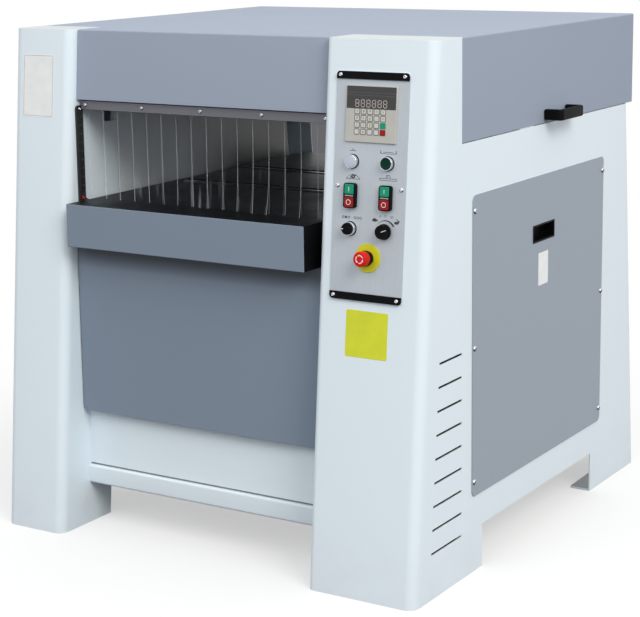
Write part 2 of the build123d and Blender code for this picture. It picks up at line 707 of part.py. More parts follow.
def domed(radius, low, high, rise):
    """Turned cap whose rim is rounded off in a few flats."""
    turns = [radians(90 * step / DOME_STEPS) for step in range(DOME_STEPS + 1)]
    rim = [(radius - rise + rise * cos(turn), high - rise + rise * sin(turn)) for turn in turns]
    profile = outline((0, low), (radius, low), *rim, (0, high))
    return revolve(Plane.XZ * profile, Axis.Z)


def panel_bezels():
    """Bezels of the lamp, start button and selector, the dial's bush and the collar of the stop button."""
    ring = bezel(PANEL_SHEET, BEZEL_RADIUS, BEZEL_HEIGHT)
    mouth = ring - disc(CAP_BORE, CAP_FLOOR, BEZEL_TOP + OVERCUT)
    bush = bezel(PANEL_SHEET, DIAL_BUSH_RADIUS, DIAL_BUSH_HEIGHT)
    collar = bezel(DISC_TOP, STOP_COLLAR, STOP_COLLAR_HEIGHT)
    shapes = (mouth, mouth, ring, bush, collar)
    return group(*[on_panel(u, v, shape) for (u, v), shape in zip(BARRELS, shapes)])


def pilot_lens():
    """Domed lens of the pilot lamp."""
    lens = domed(CAP_RADIUS, CAP_FLOOR, BEZEL_TOP + CAP_PROUD, CAP_PROUD)
    return on_panel(-DEVICE_OFFSET, LAMP_V, disc(STEM_RADIUS, BORE_FLOOR, CAP_FLOOR) + lens)


def start_button():
    """Round push button in its bezel."""
    low = CAP_FLOOR + CAP_ROOM
    cap = disc(CAP_RADIUS, low, BEZEL_TOP + CAP_PROUD)
    cap = chamfer(cap.edges().sort_by(Axis.Z)[-1], KEY_CHAMFER)
    return on_panel(DEVICE_OFFSET, LAMP_V, disc(STEM_RADIUS, STEM_END, low) + cap)


def button_frames():
    """Frames of the two double push buttons."""
    frame = slab(FRAME_WIDTH, FRAME_HEIGHT, FRAME_RADIUS, PANEL_SHEET, FRAME_FACE)
    pocket = slab(KEY_WIDTH, KEY_HEIGHT, FRAME_FLOOR, PANEL_SHEET + FRAME_FLOOR, FRAME_FACE + OVERCUT)
    for v in (-KEY_SPREAD, KEY_SPREAD):
        frame -= Pos(0, v) * pocket
    return group(*[on_panel(u, SWITCH_V, frame) for u in (-DEVICE_OFFSET, DEVICE_OFFSET)])


def switch_key(column, row):
    """Push key of a double button; column and row are -1 or 1."""
    low = PANEL_SHEET + FRAME_FLOOR + KEY_ROOM
    width = KEY_WIDTH - 2 * BODY_GAP
    height = KEY_HEIGHT - 2 * BODY_GAP
    key = slab(width, height, FRAME_FLOOR, low, FRAME_FACE + KEY_PROUD)
    key = chamfer(key.faces().sort_by(Axis.Z)[-1].edges(), KEY_CHAMFER)
    return on_panel(column * DEVICE_OFFSET, SWITCH_V + row * KEY_SPREAD, key)


def selector_knob():
    """Selector with a raised wing."""
    low = BEZEL_TOP + BODY_GAP
    top = low + SELECTOR_BASE
    stem = disc(STEM_RADIUS, STEM_END, low)
    wing = slab(2 * SELECTOR_RADIUS, SELECTOR_WING, SELECTOR_WING / 3, top, top + SELECTOR_WING_HEIGHT)
    return on_panel(-DEVICE_OFFSET, KNOB_V, stem + disc(SELECTOR_RADIUS, low, top) + wing)


def speed_knob():
    """Round dial knob with a stepped skirt and a lug."""
    low = PANEL_SHEET + DIAL_BUSH_HEIGHT + BODY_GAP
    top = low + KNOB_SKIRT
    grip = disc(KNOB_RADIUS - KNOB_STEP, top, low + KNOB_HEIGHT)
    grip = chamfer(grip.edges().sort_by(Axis.Z)[-1], KNOB_CHAMFER)
    lug = Rot(0, 0, KNOB_LUG_ANGLE) * Pos(KNOB_RADIUS, 0) * slab(KNOB_LUG, KNOB_LUG, KNOB_CHAMFER, low, top)
    knob = disc(STEM_RADIUS, STEM_END, low) + disc(KNOB_RADIUS, low, top) + lug + grip
    return on_panel(DEVICE_OFFSET, KNOB_V, knob)


def stop_disc():
    """Round plate under the emergency stop."""
    plate = disc(STOP_DISC, PANEL_SHEET, DISC_TOP) - disc(BARREL_RADIUS + BARREL_FIT, 0, DISC_TOP + OVERCUT)
    return on_panel(STOP_U, STOP_V, plate)


def stop_mushroom():
    """Mushroom head of the emergency stop, with a skirt around the collar."""
    low = DISC_TOP + STOP_TRAVEL_ROOM
    room = COLLAR_TOP + STOP_TRAVEL_ROOM
    head = domed(STOP_HEAD, low, low + STOP_HEAD_HEIGHT, STOP_DOME)
    head -= disc(STOP_COLLAR + STOP_SKIRT_GAP, low - OVERCUT, room)
    return on_panel(STOP_U, STOP_V, head + disc(STEM_RADIUS, STEM_END, room))


# Feed curtain and scale
def thickness_scale():
    """Scale strip on the inner wall of the left column."""
    near = CLAMP_FACE - SCALE_LEAD
    face = Pos(near + SCALE_WIDTH / 2, (SCALE_TOP + SCALE_BOTTOM) / 2) * Rectangle(
        SCALE_WIDTH, SCALE_TOP - SCALE_BOTTOM
    )
    face = fillet(face.vertices().group_by(Axis.Y)[-1], SCALE_RADIUS)
    return section_x(face, (LEFT_IN, LEFT_IN + SCALE_THICK))


def curtain_bars():
    """Clamp bar in front of the strips and the holder behind them."""
    z = (CLAMP_BOTTOM, CLAMP_TOP)
    clamp = block((CURTAIN_LEFT, CURTAIN_RIGHT), (CLAMP_FACE, STRIP_FACE), z)
    holder = block((LEFT_IN, RIGHT_IN), (HOLDER_FACE, HOLDER_FACE + HOLDER_THICK), z)
    return group(clamp, holder)


def curtain_strips():
    """Clear strips that hang to the table, counted from the right."""
    strips = []
    for place in range(STRIPS + 1):
        right = CURTAIN_RIGHT - place * STRIP_PITCH
        x = (max(CURTAIN_LEFT, right - STRIP_PITCH + STRIP_GAP), right)
        strips.append(block(x, (STRIP_FACE, HOLDER_FACE), (TABLE_TOP + STRIP_LIFT, CLAMP_TOP)))
    return group(*strips)


# Cutter head
def head_frame():
    """Right head frame: plate on the base that carries the cutter, the rollers and the fingers."""
    def lead(z):
        return front_y(z) + COLUMN_RETURN - FRAME_LAP
    plate = outline(
        (lead(BASE_TOP), BASE_TOP),
        (rear_y(BASE_TOP) - FRAME_REAR_GAP, BASE_TOP),
        (rear_y(FRAME_TOP) - FRAME_REAR_GAP, FRAME_TOP),
        (lead(FRAME_TOP), FRAME_TOP),
    )
    plate = fillet(plate.vertices().group_by(Axis.Y)[-1], FRAME_WINDOW_RADIUS)
    middle = (BASE_TOP + RIM_BOTTOM) / 2
    window = RectangleRounded(FRAME_WINDOW, FRAME_WINDOW, FRAME_WINDOW_RADIUS)
    plate -= Pos(-FRAME_WINDOW_LEAD, middle) * window
    plate -= Pos(0, CUTTER_Z) * Circle(HOUSING_RADIUS)
    for y in (-ROLLER_OFFSET, ROLLER_OFFSET):
        plate -= Pos(y, ROLLER_Z) * Circle(ROLLER_HOUSING_RADIUS)
    return section_x(plate, (FRAME_INNER, FRAME_OUTER))


def head_frame_right():
    """Right head frame with the way through for the motor shaft."""
    hole_x = (FRAME_INNER - OVERCUT, FRAME_OUTER + OVERCUT)
    return head_frame() - rod(MOTOR_SHAFT_HOLE, hole_x, MOTOR_Y, MOTOR_Z)


def head_frame_left():
    """Left head frame."""
    return mirror(head_frame(), about=FEED_PLANE)


def shaft_bearings():
    """Cutter bearings with their inner spigots, roller bearings and lift screw bushes."""
    outer = FRAME_OUTER + HOUSING_FLANGE_THICK
    cutter = rod(HOUSING_RADIUS, (FRAME_INNER, FRAME_OUTER), 0, CUTTER_Z)
    cutter += rod(HOUSING_FLANGE_RADIUS, (FRAME_OUTER, outer), 0, CUTTER_Z)
    cutter += rod(SPIGOT_RADIUS, (FRAME_INNER - SPIGOT_LENGTH, FRAME_INNER), 0, CUTTER_Z)
    bore_x = (FRAME_INNER - SPIGOT_LENGTH - OVERCUT, outer + OVERCUT)
    cutter -= rod(SHAFT_RADIUS + RUN_FIT, bore_x, 0, CUTTER_Z)
    parts = [across(cutter)]
    outer = FRAME_OUTER + ROLLER_FLANGE_THICK
    for y in (-ROLLER_OFFSET, ROLLER_OFFSET):
        bearing = rod(ROLLER_HOUSING_RADIUS, (FRAME_INNER, FRAME_OUTER), y, ROLLER_Z)
        bearing += rod(ROLLER_FLANGE_RADIUS, (FRAME_OUTER, outer), y, ROLLER_Z)
        bearing -= rod(ROLLER_SHAFT + RUN_FIT, (FRAME_INNER - OVERCUT, outer + OVERCUT), y, ROLLER_Z)
        parts.append(across(bearing))
    top = BASE_TOP + LIFT_BUSH_HEIGHT
    for x in PILLAR_X:
        bush = post(LIFT_BUSH, x, 0, (BASE_Z, BASE_TOP)) + post(LIFT_BUSH_FLANGE, x, 0, (BASE_TOP, top))
        parts.append(bush - post(JOURNAL_RADIUS + RUN_FIT, x, 0, (BASE_Z - OVERCUT, top + OVERCUT)))
    return group(*parts)


LEFT_FRAME_OUTER = 2 * FEED_X - FRAME_OUTER
LEFT_FRAME_INNER = 2 * FEED_X - FRAME_INNER
PULLEY_X = (
    FRAME_OUTER + HOUSING_FLANGE_THICK + PULLEY_GAP,
    FRAME_OUTER + HOUSING_FLANGE_THICK + PULLEY_GAP + PULLEY_WIDTH,
)
BLOCK_RADIUS = CUTTER_RADIUS - KNIFE_PROUD
SLOT_FLOOR = CUTTER_RADIUS - KNIFE_DEPTH


def around_cutter(face):
    """Copies of a section around the cutter axis, one for each knife."""
    step = 360 / KNIVES
    return [Pos(0, CUTTER_Z) * Rot(0, 0, (place + 0.5) * step) * face for place in range(KNIVES)]


def radial_box(low, high, side):
    """Rectangle along the radius, between two tangential limits."""
    return Pos((low + high) / 2, (side[0] + side[1]) / 2) * Rectangle(high - low, side[1] - side[0])


def cutterblock():
    """Cutterblock with its knife slots, turned in one with its journals."""
    body = Pos(0, CUTTER_Z) * Circle(BLOCK_RADIUS)
    for slot in around_cutter(radial_box(SLOT_FLOOR, CUTTER_RADIUS, (-KNIFE_SLOT / 2, KNIFE_SLOT / 2))):
        body -= slot
    shaft = rod(SHAFT_RADIUS, (LEFT_FRAME_OUTER - HOUSING_FLANGE_THICK, PULLEY_X[1]), 0, CUTTER_Z)
    return section_x(body, HEAD_X) + shaft


def cutter_knives():
    """Planer knives against the trailing wall of their slots."""
    side = (KNIFE_SLOT / 2 - KNIFE_THICK, KNIFE_SLOT / 2)
    blade = radial_box(SLOT_FLOOR, CUTTER_RADIUS, side)
    return group(*[section_x(face, HEAD_X) for face in around_cutter(blade)])


def knife_wedges():
    """Wedge bars that clamp the knives, hollowed as chip gullets."""
    side = (-KNIFE_SLOT / 2, KNIFE_SLOT / 2 - KNIFE_THICK)
    bar = radial_box(SLOT_FLOOR, BLOCK_RADIUS - KNIFE_PROUD, side)
    bar -= Pos(BLOCK_RADIUS, 0) * Circle(KNIFE_SLOT / 3)
    return group(*[section_x(face, HEAD_X) for face in around_cutter(bar)])


def rimmed_pulley(radius, y, z, bore):
    """Pulley with a rim on each side of the belt, around an axis along X."""
    rim_x = (PULLEY_X[0] + PULLEY_RIM, PULLEY_X[1] - PULLEY_RIM)
    rim = radius + PULLEY_RIM_HEIGHT
    profile = outline(
        (PULLEY_X[0], bore),
        (PULLEY_X[0], rim),
        (rim_x[0], rim),
        (rim_x[0], radius),
        (rim_x[1], radius),
        (rim_x[1], rim),
        (PULLEY_X[1], rim),
        (PULLEY_X[1], bore),
    )
    return Pos(0, y, z) * revolve(Plane.XZ * profile, Axis.X)


def cutter_pulley():
    """Pulley on the cutter shaft."""
    return rimmed_pulley(CUTTER_PULLEY, 0, CUTTER_Z, SHAFT_RADIUS)


def motor_pulley():
    """Motor shaft with its pulley."""
    seat = FRAME_INNER - MOTOR_NOSE - MOTOR_SHAFT_SEAT
    shaft = rod(MOTOR_SHAFT, (seat, PULLEY_X[1]), MOTOR_Y, MOTOR_Z)
    return shaft + rimmed_pulley(MOTOR_PULLEY, MOTOR_Y, MOTOR_Z, MOTOR_SHAFT)


def main_motor():
    """Finned, foot-mounted motor under the outfeed table."""
    nose = FRAME_INNER - MOTOR_NOSE
    tail = nose - MOTOR_LENGTH
    frame_x = (tail + MOTOR_BELL_LENGTH, nose - MOTOR_BELL_LENGTH)
    ribbed = Circle(MOTOR_CORE_RADIUS)
    for fin in range(MOTOR_FINS // 2):
        ribbed += Rot(0, 0, fin * 360 / MOTOR_FINS) * Rectangle(2 * MOTOR_RADIUS, MOTOR_FIN_THICK)
    body = section_x(Pos(MOTOR_Y, MOTOR_Z) * ribbed, frame_x)
    for bell_x in ((tail, frame_x[0]), (frame_x[1], nose)):
        bell = rod(MOTOR_RADIUS, bell_x, MOTOR_Y, MOTOR_Z)
        outer = bell.edges().filter_by(GeomType.CIRCLE).sort_by(Axis.X)[0 if bell_x[0] == tail else -1]
        body += chamfer(outer, MOTOR_BELL_CHAMFER)
    foot_y = (MOTOR_Y - MOTOR_FOOT_SPAN / 2, MOTOR_Y + MOTOR_FOOT_SPAN / 2)
    for foot_x in ((frame_x[0], frame_x[0] + MOTOR_FOOT_WIDTH), (frame_x[1] - MOTOR_FOOT_WIDTH, frame_x[1])):
        body += block(foot_x, foot_y, (BASE_TOP, MOTOR_Z - MOTOR_FOOT_WIDTH))
    middle = (tail + nose) / 2
    half = TERMINAL_WIDTH / 2
    box_y = (MOTOR_Y - half, MOTOR_Y + half)
    body += block((middle - half, middle + half), box_y, (MOTOR_Z, MOTOR_Z + TERMINAL_HEIGHT))
    bore_x = (nose - MOTOR_SHAFT_SEAT - OVERCUT, nose + OVERCUT)
    return body - rod(MOTOR_SHAFT + RUN_FIT, bore_x, MOTOR_Y, MOTOR_Z)


def drive_belt():
    """Flat belt from the motor to the cutterblock, between the pulley rims."""
    wheels = ((0, CUTTER_Z, CUTTER_PULLEY), (MOTOR_Y, MOTOR_Z, MOTOR_PULLEY))
    side = PULLEY_RIM + BELT_SIDE_GAP
    return section_x(loop_face(wheels, BODY_GAP, BELT_THICK), (PULLEY_X[0] + side, PULLEY_X[1] - side))


SPROCKET_X = (
    LEFT_FRAME_OUTER - ROLLER_FLANGE_THICK - SPROCKET_GAP - SPROCKET_WIDTH,
    LEFT_FRAME_OUTER - ROLLER_FLANGE_THICK - SPROCKET_GAP,
)


def feed_roller(face, y):
    """Feed roller with its shaft and its sprocket on the left."""
    barrel = section_x(Pos(y, ROLLER_Z) * face, HEAD_X)
    shaft = rod(ROLLER_SHAFT, (SPROCKET_X[0], FRAME_OUTER + ROLLER_FLANGE_THICK), y, ROLLER_Z)
    return barrel + shaft + section_x(Pos(y, ROLLER_Z) * sprocket_face(FEED_SPROCKET), SPROCKET_X)


def infeed_roller():
    """Serrated steel infeed roller."""
    step = pi / ROLLER_TEETH
    radii = (ROLLER_RADIUS, ROLLER_RADIUS - TOOTH_DEPTH)
    points = [(radii[i % 2] * cos(i * step), radii[i % 2] * sin(i * step)) for i in range(2 * ROLLER_TEETH)]
    return feed_roller(outline(*points), -ROLLER_OFFSET)


def outfeed_roller():
    """Smooth outfeed roller."""
    return feed_roller(Circle(ROLLER_RADIUS), ROLLER_OFFSET)


def feed_sprocket():
    """Output shaft and sprocket of the feed gear motor."""
    end = SPROCKET_X[0] - FEED_GEARBOX_GAP - FEED_SHAFT_SEAT
    shaft = rod(FEED_DRIVE_SHAFT, (end, SPROCKET_X[1]), 0, FEED_DRIVE_Z)
    return shaft + section_x(Pos(0, FEED_DRIVE_Z) * sprocket_face(FEED_DRIVE_SPROCKET), SPROCKET_X)


def feed_gearmotor():
    """Gear motor in the left cabinet, held off the head frame by four studs."""
    face = SPROCKET_X[0] - FEED_GEARBOX_GAP
    back = SHEET - OUT + FEED_MOTOR_WALL_GAP
    half = FEED_GEARBOX_WIDTH / 2
    top = FEED_DRIVE_Z + FEED_GEARBOX_RISE
    low = top - FEED_GEARBOX_HEIGHT
    body = block((back, face), (-half, half), (low, top))
    body = fillet(body.edges().filter_by(Axis.X), GEARBOX_CORNER)
    body += post(FEED_MOTOR_RADIUS, (back + face) / 2, 0, (low - FEED_MOTOR_LENGTH, low))
    for y in (STUD_INSET - half, half - STUD_INSET):
        for z in (low + STUD_INSET, low + STUD_INSET + STUD_SPACING):
            body += rod(STUD_RADIUS, (face, LEFT_FRAME_OUTER), y, z)
    bore_x = (face - FEED_SHAFT_SEAT - OVERCUT, face + OVERCUT)
    return body - rod(FEED_DRIVE_SHAFT + RUN_FIT, bore_x, 0, FEED_DRIVE_Z)


def feed_chain():
    """Chain around the feed sprockets."""
    wheels = (
        (-ROLLER_OFFSET, ROLLER_Z, FEED_SPROCKET),
        (ROLLER_OFFSET, ROLLER_Z, FEED_SPROCKET),
        (0, FEED_DRIVE_Z, FEED_DRIVE_SPROCKET),
    )
    return section_x(loop_face(wheels, CHAIN_GAP, CHAIN_THICK), SPROCKET_X)


def chip_breaker():
    """Curved lip in front of the cutter, swinging on the bearing spigots."""
    inner = CUTTER_RADIUS + BREAKER_GAP
    outer = inner + BREAKER_THICK
    band = Circle(outer) - Circle(inner)
    sweep = BREAKER_END_ANGLE - BREAKER_START_ANGLE
    reach = 2 * outer
    first, last = radians(BREAKER_START_ANGLE), radians(BREAKER_END_ANGLE)
    middle = radians(BREAKER_START_ANGLE + sweep / 2)
    wedge = outline(
        (0, 0),
        (reach * cos(first), reach * sin(first)),
        (reach * cos(middle), reach * sin(middle)),
        (reach * cos(last), reach * sin(last)),
    )
    arm_x = (FRAME_INNER - BREAKER_ARM - 2 * BODY_GAP, FRAME_INNER - 2 * BODY_GAP)
    lip = section_x(Pos(0, CUTTER_Z) * (band & wedge), (2 * FEED_X - arm_x[1], arm_x[1]))
    arm = (Circle(outer) & wedge) + Circle(SPIGOT_RADIUS + BREAKER_THICK) - Circle(SPIGOT_RADIUS + RUN_FIT)
    arm = section_x(Pos(0, CUTTER_Z) * arm, arm_x)
    return lip + arm + mirror(arm, about=FEED_PLANE)


def head_crossbars():
    """Pressure bar behind the cutter and the shaft of the kickback fingers."""
    stem_front = PRESSURE_BAR_REAR - PRESSURE_BAR_STEM
    profile = outline(
        (PRESSURE_BAR_FRONT, CUT_BOTTOM),
        (PRESSURE_BAR_REAR, CUT_BOTTOM),
        (PRESSURE_BAR_REAR, PRESSURE_BAR_TOP),
        (stem_front, PRESSURE_BAR_TOP),
        (stem_front, CUT_BOTTOM + 2 * PRESSURE_BAR_SOLE),
        (PRESSURE_BAR_FRONT, CUT_BOTTOM + BREAKER_GAP),
    )
    pressure_bar = section_x(profile, (LEFT_FRAME_INNER, FRAME_INNER))
    shaft = rod(FINGER_SHAFT, (LEFT_FRAME_INNER, FRAME_INNER), FINGER_Y, FINGER_Z)
    return group(pressure_bar, shaft)


def kickback_fingers():
    """Row of fingers that hang in front of the infeed roller."""
    plate = outline(
        (-FINGER_HUB, -FINGER_TIP),
        (-FINGER_SHAFT, FINGER_HUB),
        (FINGER_SHAFT, FINGER_HUB),
        (FINGER_HUB, FINGER_TIP),
        (2 * FINGER_TIP, -FINGER_LENGTH),
        (0, -FINGER_LENGTH),
    )
    finger = Pos(FINGER_Y, FINGER_Z) * (plate - Circle(FINGER_SHAFT + RUN_FIT))
    fingers = []
    for place in range(FINGERS):
        x = FEED_X + (place - (FINGERS - 1) / 2) * FINGER_PITCH
        fingers.append(section_x(finger, (x - FINGER_THICK / 2, x + FINGER_THICK / 2)))
    return group(*fingers)


# Table and lift
BED_ROLLER_Z = TABLE_TOP + BED_ROLLER_PROUD - BED_ROLLER
BED_ROLLER_X = (TABLE_LEFT + RIM_WALL + BED_ROLLER_ROOM, TABLE_RIGHT - RIM_WALL - BED_ROLLER_ROOM)


def table_casting():
    """Ribbed cast table with pockets for the bed rollers."""
    x = (TABLE_LEFT, TABLE_RIGHT)
    inside = (TABLE_LEFT + RIM_WALL, TABLE_RIGHT - RIM_WALL)
    y = (TABLE_FRONT, TABLE_REAR)
    casting = block(x, y, (RIM_BOTTOM, TABLE_TOP))
    casting -= block(inside, (y[0] + RIM_WALL, y[1] - RIM_WALL), (RIM_BOTTOM - OVERCUT, SLAB_BOTTOM))
    rib_z = (SLAB_BOTTOM - RIB_DEPTH, SLAB_BOTTOM)
    middle = (y[0] + y[1]) / 2
    for side in (-1, 1):
        rib_y = middle + side * CROSS_RIB_SPACING / 2
        casting += block(inside, (rib_y - RIB / 2, rib_y + RIB / 2), rib_z)
        rib_x = FEED_X + side * RIB_SPACING / 2
        casting += block((rib_x - RIB / 2, rib_x + RIB / 2), (y[0] + RIM_WALL, y[1] - RIM_WALL), rib_z)
    pocket = BED_ROLLER + BED_POCKET_GAP
    pocket_x = (BED_ROLLER_X[0] - BED_POCKET_GAP, BED_ROLLER_X[1] + BED_POCKET_GAP)
    pocket_z = (BED_ROLLER_Z - pocket, TABLE_TOP + OVERCUT)
    for roller_y in (-ROLLER_OFFSET, ROLLER_OFFSET):
        casting -= block(pocket_x, (roller_y - pocket, roller_y + pocket), pocket_z)
        bore_x = (x[0] - OVERCUT, x[1] + OVERCUT)
        casting -= rod(BED_ROLLER_SHAFT + RUN_FIT, bore_x, roller_y, BED_ROLLER_Z)
    for pillar_x in PILLAR_X:
        casting -= post(PILLAR_FLANGE, pillar_x, 0, rib_z)
    return casting


def bed_roller(y):
    """Free roller in the table, a little proud of its surface."""
    shaft_x = (TABLE_LEFT + BED_SHAFT_INSET, TABLE_RIGHT - BED_SHAFT_INSET)
    return rod(BED_ROLLER, BED_ROLLER_X, y, BED_ROLLER_Z) + rod(BED_ROLLER_SHAFT, shaft_x, y, BED_ROLLER_Z)


def table_apron():
    """Sheet on the front of the table."""
    return block((TABLE_LEFT, TABLE_RIGHT), (APRON_FACE, TABLE_FRONT), (RIM_BOTTOM, TABLE_TOP))


def table_skirt():
    """Sheet that hangs from the table and closes the front below it."""
    face = FRONT + SKIRT_SETBACK
    width = RIGHT_IN - LEFT_IN - 2 * SKIRT_SIDE_GAP
    sheet = Rectangle(width, RIM_BOTTOM - SKIRT_BOTTOM)
    sheet = fillet(sheet.vertices().group_by(Axis.Y)[0], SKIRT_RADIUS)
    place = Plane(origin=(FEED_X, face, (RIM_BOTTOM + SKIRT_BOTTOM) / 2), x_dir=(-1, 0, 0), z_dir=(0, 1, 0))
    skirt = extrude(place * sheet, amount=SKIRT_SHEET)
    flange_z = (RIM_BOTTOM - SKIRT_SHEET, RIM_BOTTOM)
    return skirt + block((TABLE_LEFT, TABLE_RIGHT), (face, face + SKIRT_FLANGE), flange_z)


def scale_pointer():
    """Pointer on the table's left edge that runs along the scale."""
    tip = LEFT_IN + SCALE_THICK + POINTER_GAP
    top = TABLE_TOP + POINTER_RISE
    foot = min(top, TABLE_TOP)
    low = top - POINTER_HEIGHT
    profile = outline((TABLE_LEFT, low), (TABLE_LEFT, foot), (tip, top), (tip, (low + top) / 2))
    y = CLAMP_FACE - POINTER_LEAD
    return extrude(Plane.XZ.offset(-y) * profile, amount=-POINTER_DEPTH)


def table_pillars():
    """Lift pillars bolted under the table, with the lift nuts in their lower ends."""
    flange_low = SLAB_BOTTOM - PILLAR_FLANGE_THICK
    parts = []
    for x in PILLAR_X:
        pillar = post(PILLAR_RADIUS, x, 0, (PILLAR_BOTTOM, SLAB_BOTTOM))
        pillar += post(PILLAR_FLANGE, x, 0, (flange_low, SLAB_BOTTOM))
        parts.append(pillar - post(PILLAR_BORE, x, 0, (PILLAR_BOTTOM - OVERCUT, flange_low)))
        nut = post(PILLAR_BORE, x, 0, (PILLAR_BOTTOM, PILLAR_BOTTOM + NUT_HEIGHT))
        parts.append(nut - post(SCREW_RADIUS + RUN_FIT, x, 0, (PILLAR_BOTTOM - OVERCUT, SLAB_BOTTOM)))
    return group(*parts)


def pillar_guides():
    """Tubes on the base plate that guide the pillars."""
    guides = []
    for x in PILLAR_X:
        guide = post(GUIDE_RADIUS, x, 0, (BASE_TOP, GUIDE_TOP))
        guide += post(GUIDE_FLANGE, x, 0, (BASE_TOP, BASE_TOP + PILLAR_FLANGE_THICK))
        bore_z = (BASE_TOP - OVERCUT, GUIDE_TOP + OVERCUT)
        guides.append(guide - post(PILLAR_RADIUS + RUN_FIT, x, 0, bore_z))
    return group(*guides)


LIFT_CHAIN_Z = (BASE_Z - LIFT_CHAIN_DROP, BASE_Z - LIFT_CHAIN_DROP + SPROCKET_WIDTH)


def lift_wheel(tip_radius, x, y):
    """Lift sprocket under the base plate."""
    return extrude(Pos(x, y, LIFT_CHAIN_Z[0]) * sprocket_face(tip_radius), amount=SPROCKET_WIDTH)


def lift_screw(x):
    """Lift screw with its journal and sprocket."""
    shoulder = BASE_TOP + LIFT_BUSH_HEIGHT + BODY_GAP
    screw = post(SCREW_RADIUS, x, 0, (shoulder, PILLAR_BOTTOM + STROKE_UP + SCREW_SPARE))
    screw += post(JOURNAL_RADIUS, x, 0, (LIFT_CHAIN_Z[0], shoulder))
    return screw + lift_wheel(LIFT_SPROCKET, x, 0)


def lift_sprocket():
    """Output shaft and sprocket of the lift gear motor."""
    end = BASE_TOP + LIFT_SHAFT_SEAT
    shaft = post(LIFT_DRIVE_SHAFT, FEED_X, LIFT_DRIVE_Y, (LIFT_CHAIN_Z[0], end))
    return shaft + lift_wheel(LIFT_DRIVE_SPROCKET, FEED_X, LIFT_DRIVE_Y)


def lift_gearmotor():
    """Upright gear motor of the table lift."""
    half = LIFT_GEARBOX_WIDTH / 2
    box_y = (LIFT_DRIVE_Y - half, LIFT_DRIVE_Y + half)
    box_top = BASE_TOP + LIFT_GEARBOX_HEIGHT
    body = block((FEED_X - half, FEED_X + half), box_y, (BASE_TOP, box_top))
    body = fillet(body.edges().filter_by(Axis.Z), GEARBOX_CORNER)
    body += post(LIFT_MOTOR_RADIUS, FEED_X, LIFT_DRIVE_Y, (box_top, box_top + LIFT_MOTOR_LENGTH))
    bore_z = (BASE_TOP - OVERCUT, BASE_TOP + LIFT_SHAFT_SEAT + OVERCUT)
    return body - post(LIFT_DRIVE_SHAFT + RUN_FIT, FEED_X, LIFT_DRIVE_Y, bore_z)


def lift_chain():
    """Chain around the lift sprockets."""
    wheels = [(x, 0, LIFT_SPROCKET) for x in PILLAR_X] + [(FEED_X, LIFT_DRIVE_Y, LIFT_DRIVE_SPROCKET)]
    face = loop_face(wheels, CHAIN_GAP, CHAIN_THICK)
    return extrude(Pos(0, 0, LIFT_CHAIN_Z[0]) * face, amount=SPROCKET_WIDTH)


# Hood
def hood_shell():
    """Lid over the head: top, sides, back and the fascia between the columns, in one shell."""
    shell = block((-OUT, OUT), (HOOD_FRONT, HOOD_REAR), (HOOD_EDGE, BODY_HEIGHT))
    inside = block(
        (SHEET - OUT, OUT - SHEET),
        (HOOD_FRONT - OVERCUT, HOOD_REAR - SHEET),
        (HOOD_EDGE - OVERCUT, BODY_HEIGHT - SHEET),
    )

    def tongue(inset, back):
        def face(z):
            return front_y(z) + FASCIA_RECESS + inset
        top = BODY_HEIGHT - inset
        low = FASCIA_BOTTOM - inset
        profile = outline((face(top), top), (back, top), (back, low), (face(low), low))
        return section_x(profile, (LEFT_IN + SEAM + inset, RIGHT_IN - SEAM - inset))
    shell += tongue(0, HOOD_FRONT + SHEET)
    top_edges = shell.edges().group_by(Axis.Z)[-1]
    sides = [edge for edge in top_edges if abs(edge.center().X) > OUT - OVERCUT]
    rear = top_edges.sort_by(Axis.Y)[-1]
    fascia = top_edges.sort_by(Axis.Y)[0]
    shell = fillet(sides + [rear, fascia], HOOD_BEND)
    shell -= inside
    shell -= tongue(SHEET, HOOD_FRONT + 2 * SHEET)
    outlet = Pos(FEED_X, HOOD_REAR, OUTLET_Z) * Rot(90, 0, 0)
    return shell - outlet * Cylinder(OUTLET_RADIUS - OUTLET_WALL, 4 * SHEET)


def dust_outlet():
    """Hose spigot on the back of the hood."""
    bore = OUTLET_RADIUS - OUTLET_WALL
    flange = Circle(OUTLET_RADIUS + OUTLET_FLANGE) - Circle(bore)
    tube = Circle(OUTLET_RADIUS) - Circle(bore)
    wall = Plane(origin=(FEED_X, HOOD_REAR, OUTLET_Z), x_dir=(-1, 0, 0), z_dir=(0, 1, 0))
    return extrude(wall * flange, amount=OUTLET_WALL) + extrude(wall * tube, amount=OUTLET_LENGTH)


def chip_deflector():
    """Baffle before the cutter and the floor of the chip channel behind it, fixed in the hood."""
    x = (LEFT_IN + SEAM, RIGHT_IN - SEAM)
    front = -CUTTER_RADIUS - 2 * BREAKER_THICK
    clear = CUTTER_Z + CUTTER_RADIUS + BREAKER_THICK
    baffle = block(x, (front, front + SHEET), (clear, BODY_HEIGHT - SHEET))
    lip = PRESSURE_BAR_REAR
    end = HOOD_REAR - SHEET
    low = OUTLET_Z - OUTLET_RADIUS
    floor = outline((lip, clear), (end, low), (end, low + SHEET), (lip, clear + SHEET))
    return group(baffle, section_x(floor, x))


def hood_handle():
    """Bridge handle at the lower edge of the hood's right side."""
    middle = (HOOD_FRONT + HOOD_REAR) / 2
    reach = Pos(OUT + HANDLE_REACH / 2, middle) * Rectangle(HANDLE_REACH, HANDLE_LENGTH)
    reach = fillet(reach.vertices().group_by(Axis.X)[-1], HANDLE_BAR)
    room = HANDLE_REACH - HANDLE_BAR
    reach -= Pos(OUT + room / 2, middle) * Rectangle(room, HANDLE_LENGTH - 2 * HANDLE_BAR)
    return extrude(Pos(0, 0, HOOD_EDGE + HANDLE_LIFT) * reach, amount=HANDLE_HEIGHT)


def knuckle(x):
    """Hinge knuckle between the limits x."""
    return rod(HINGE_RADIUS, x, HINGE_Y, HINGE_Z)


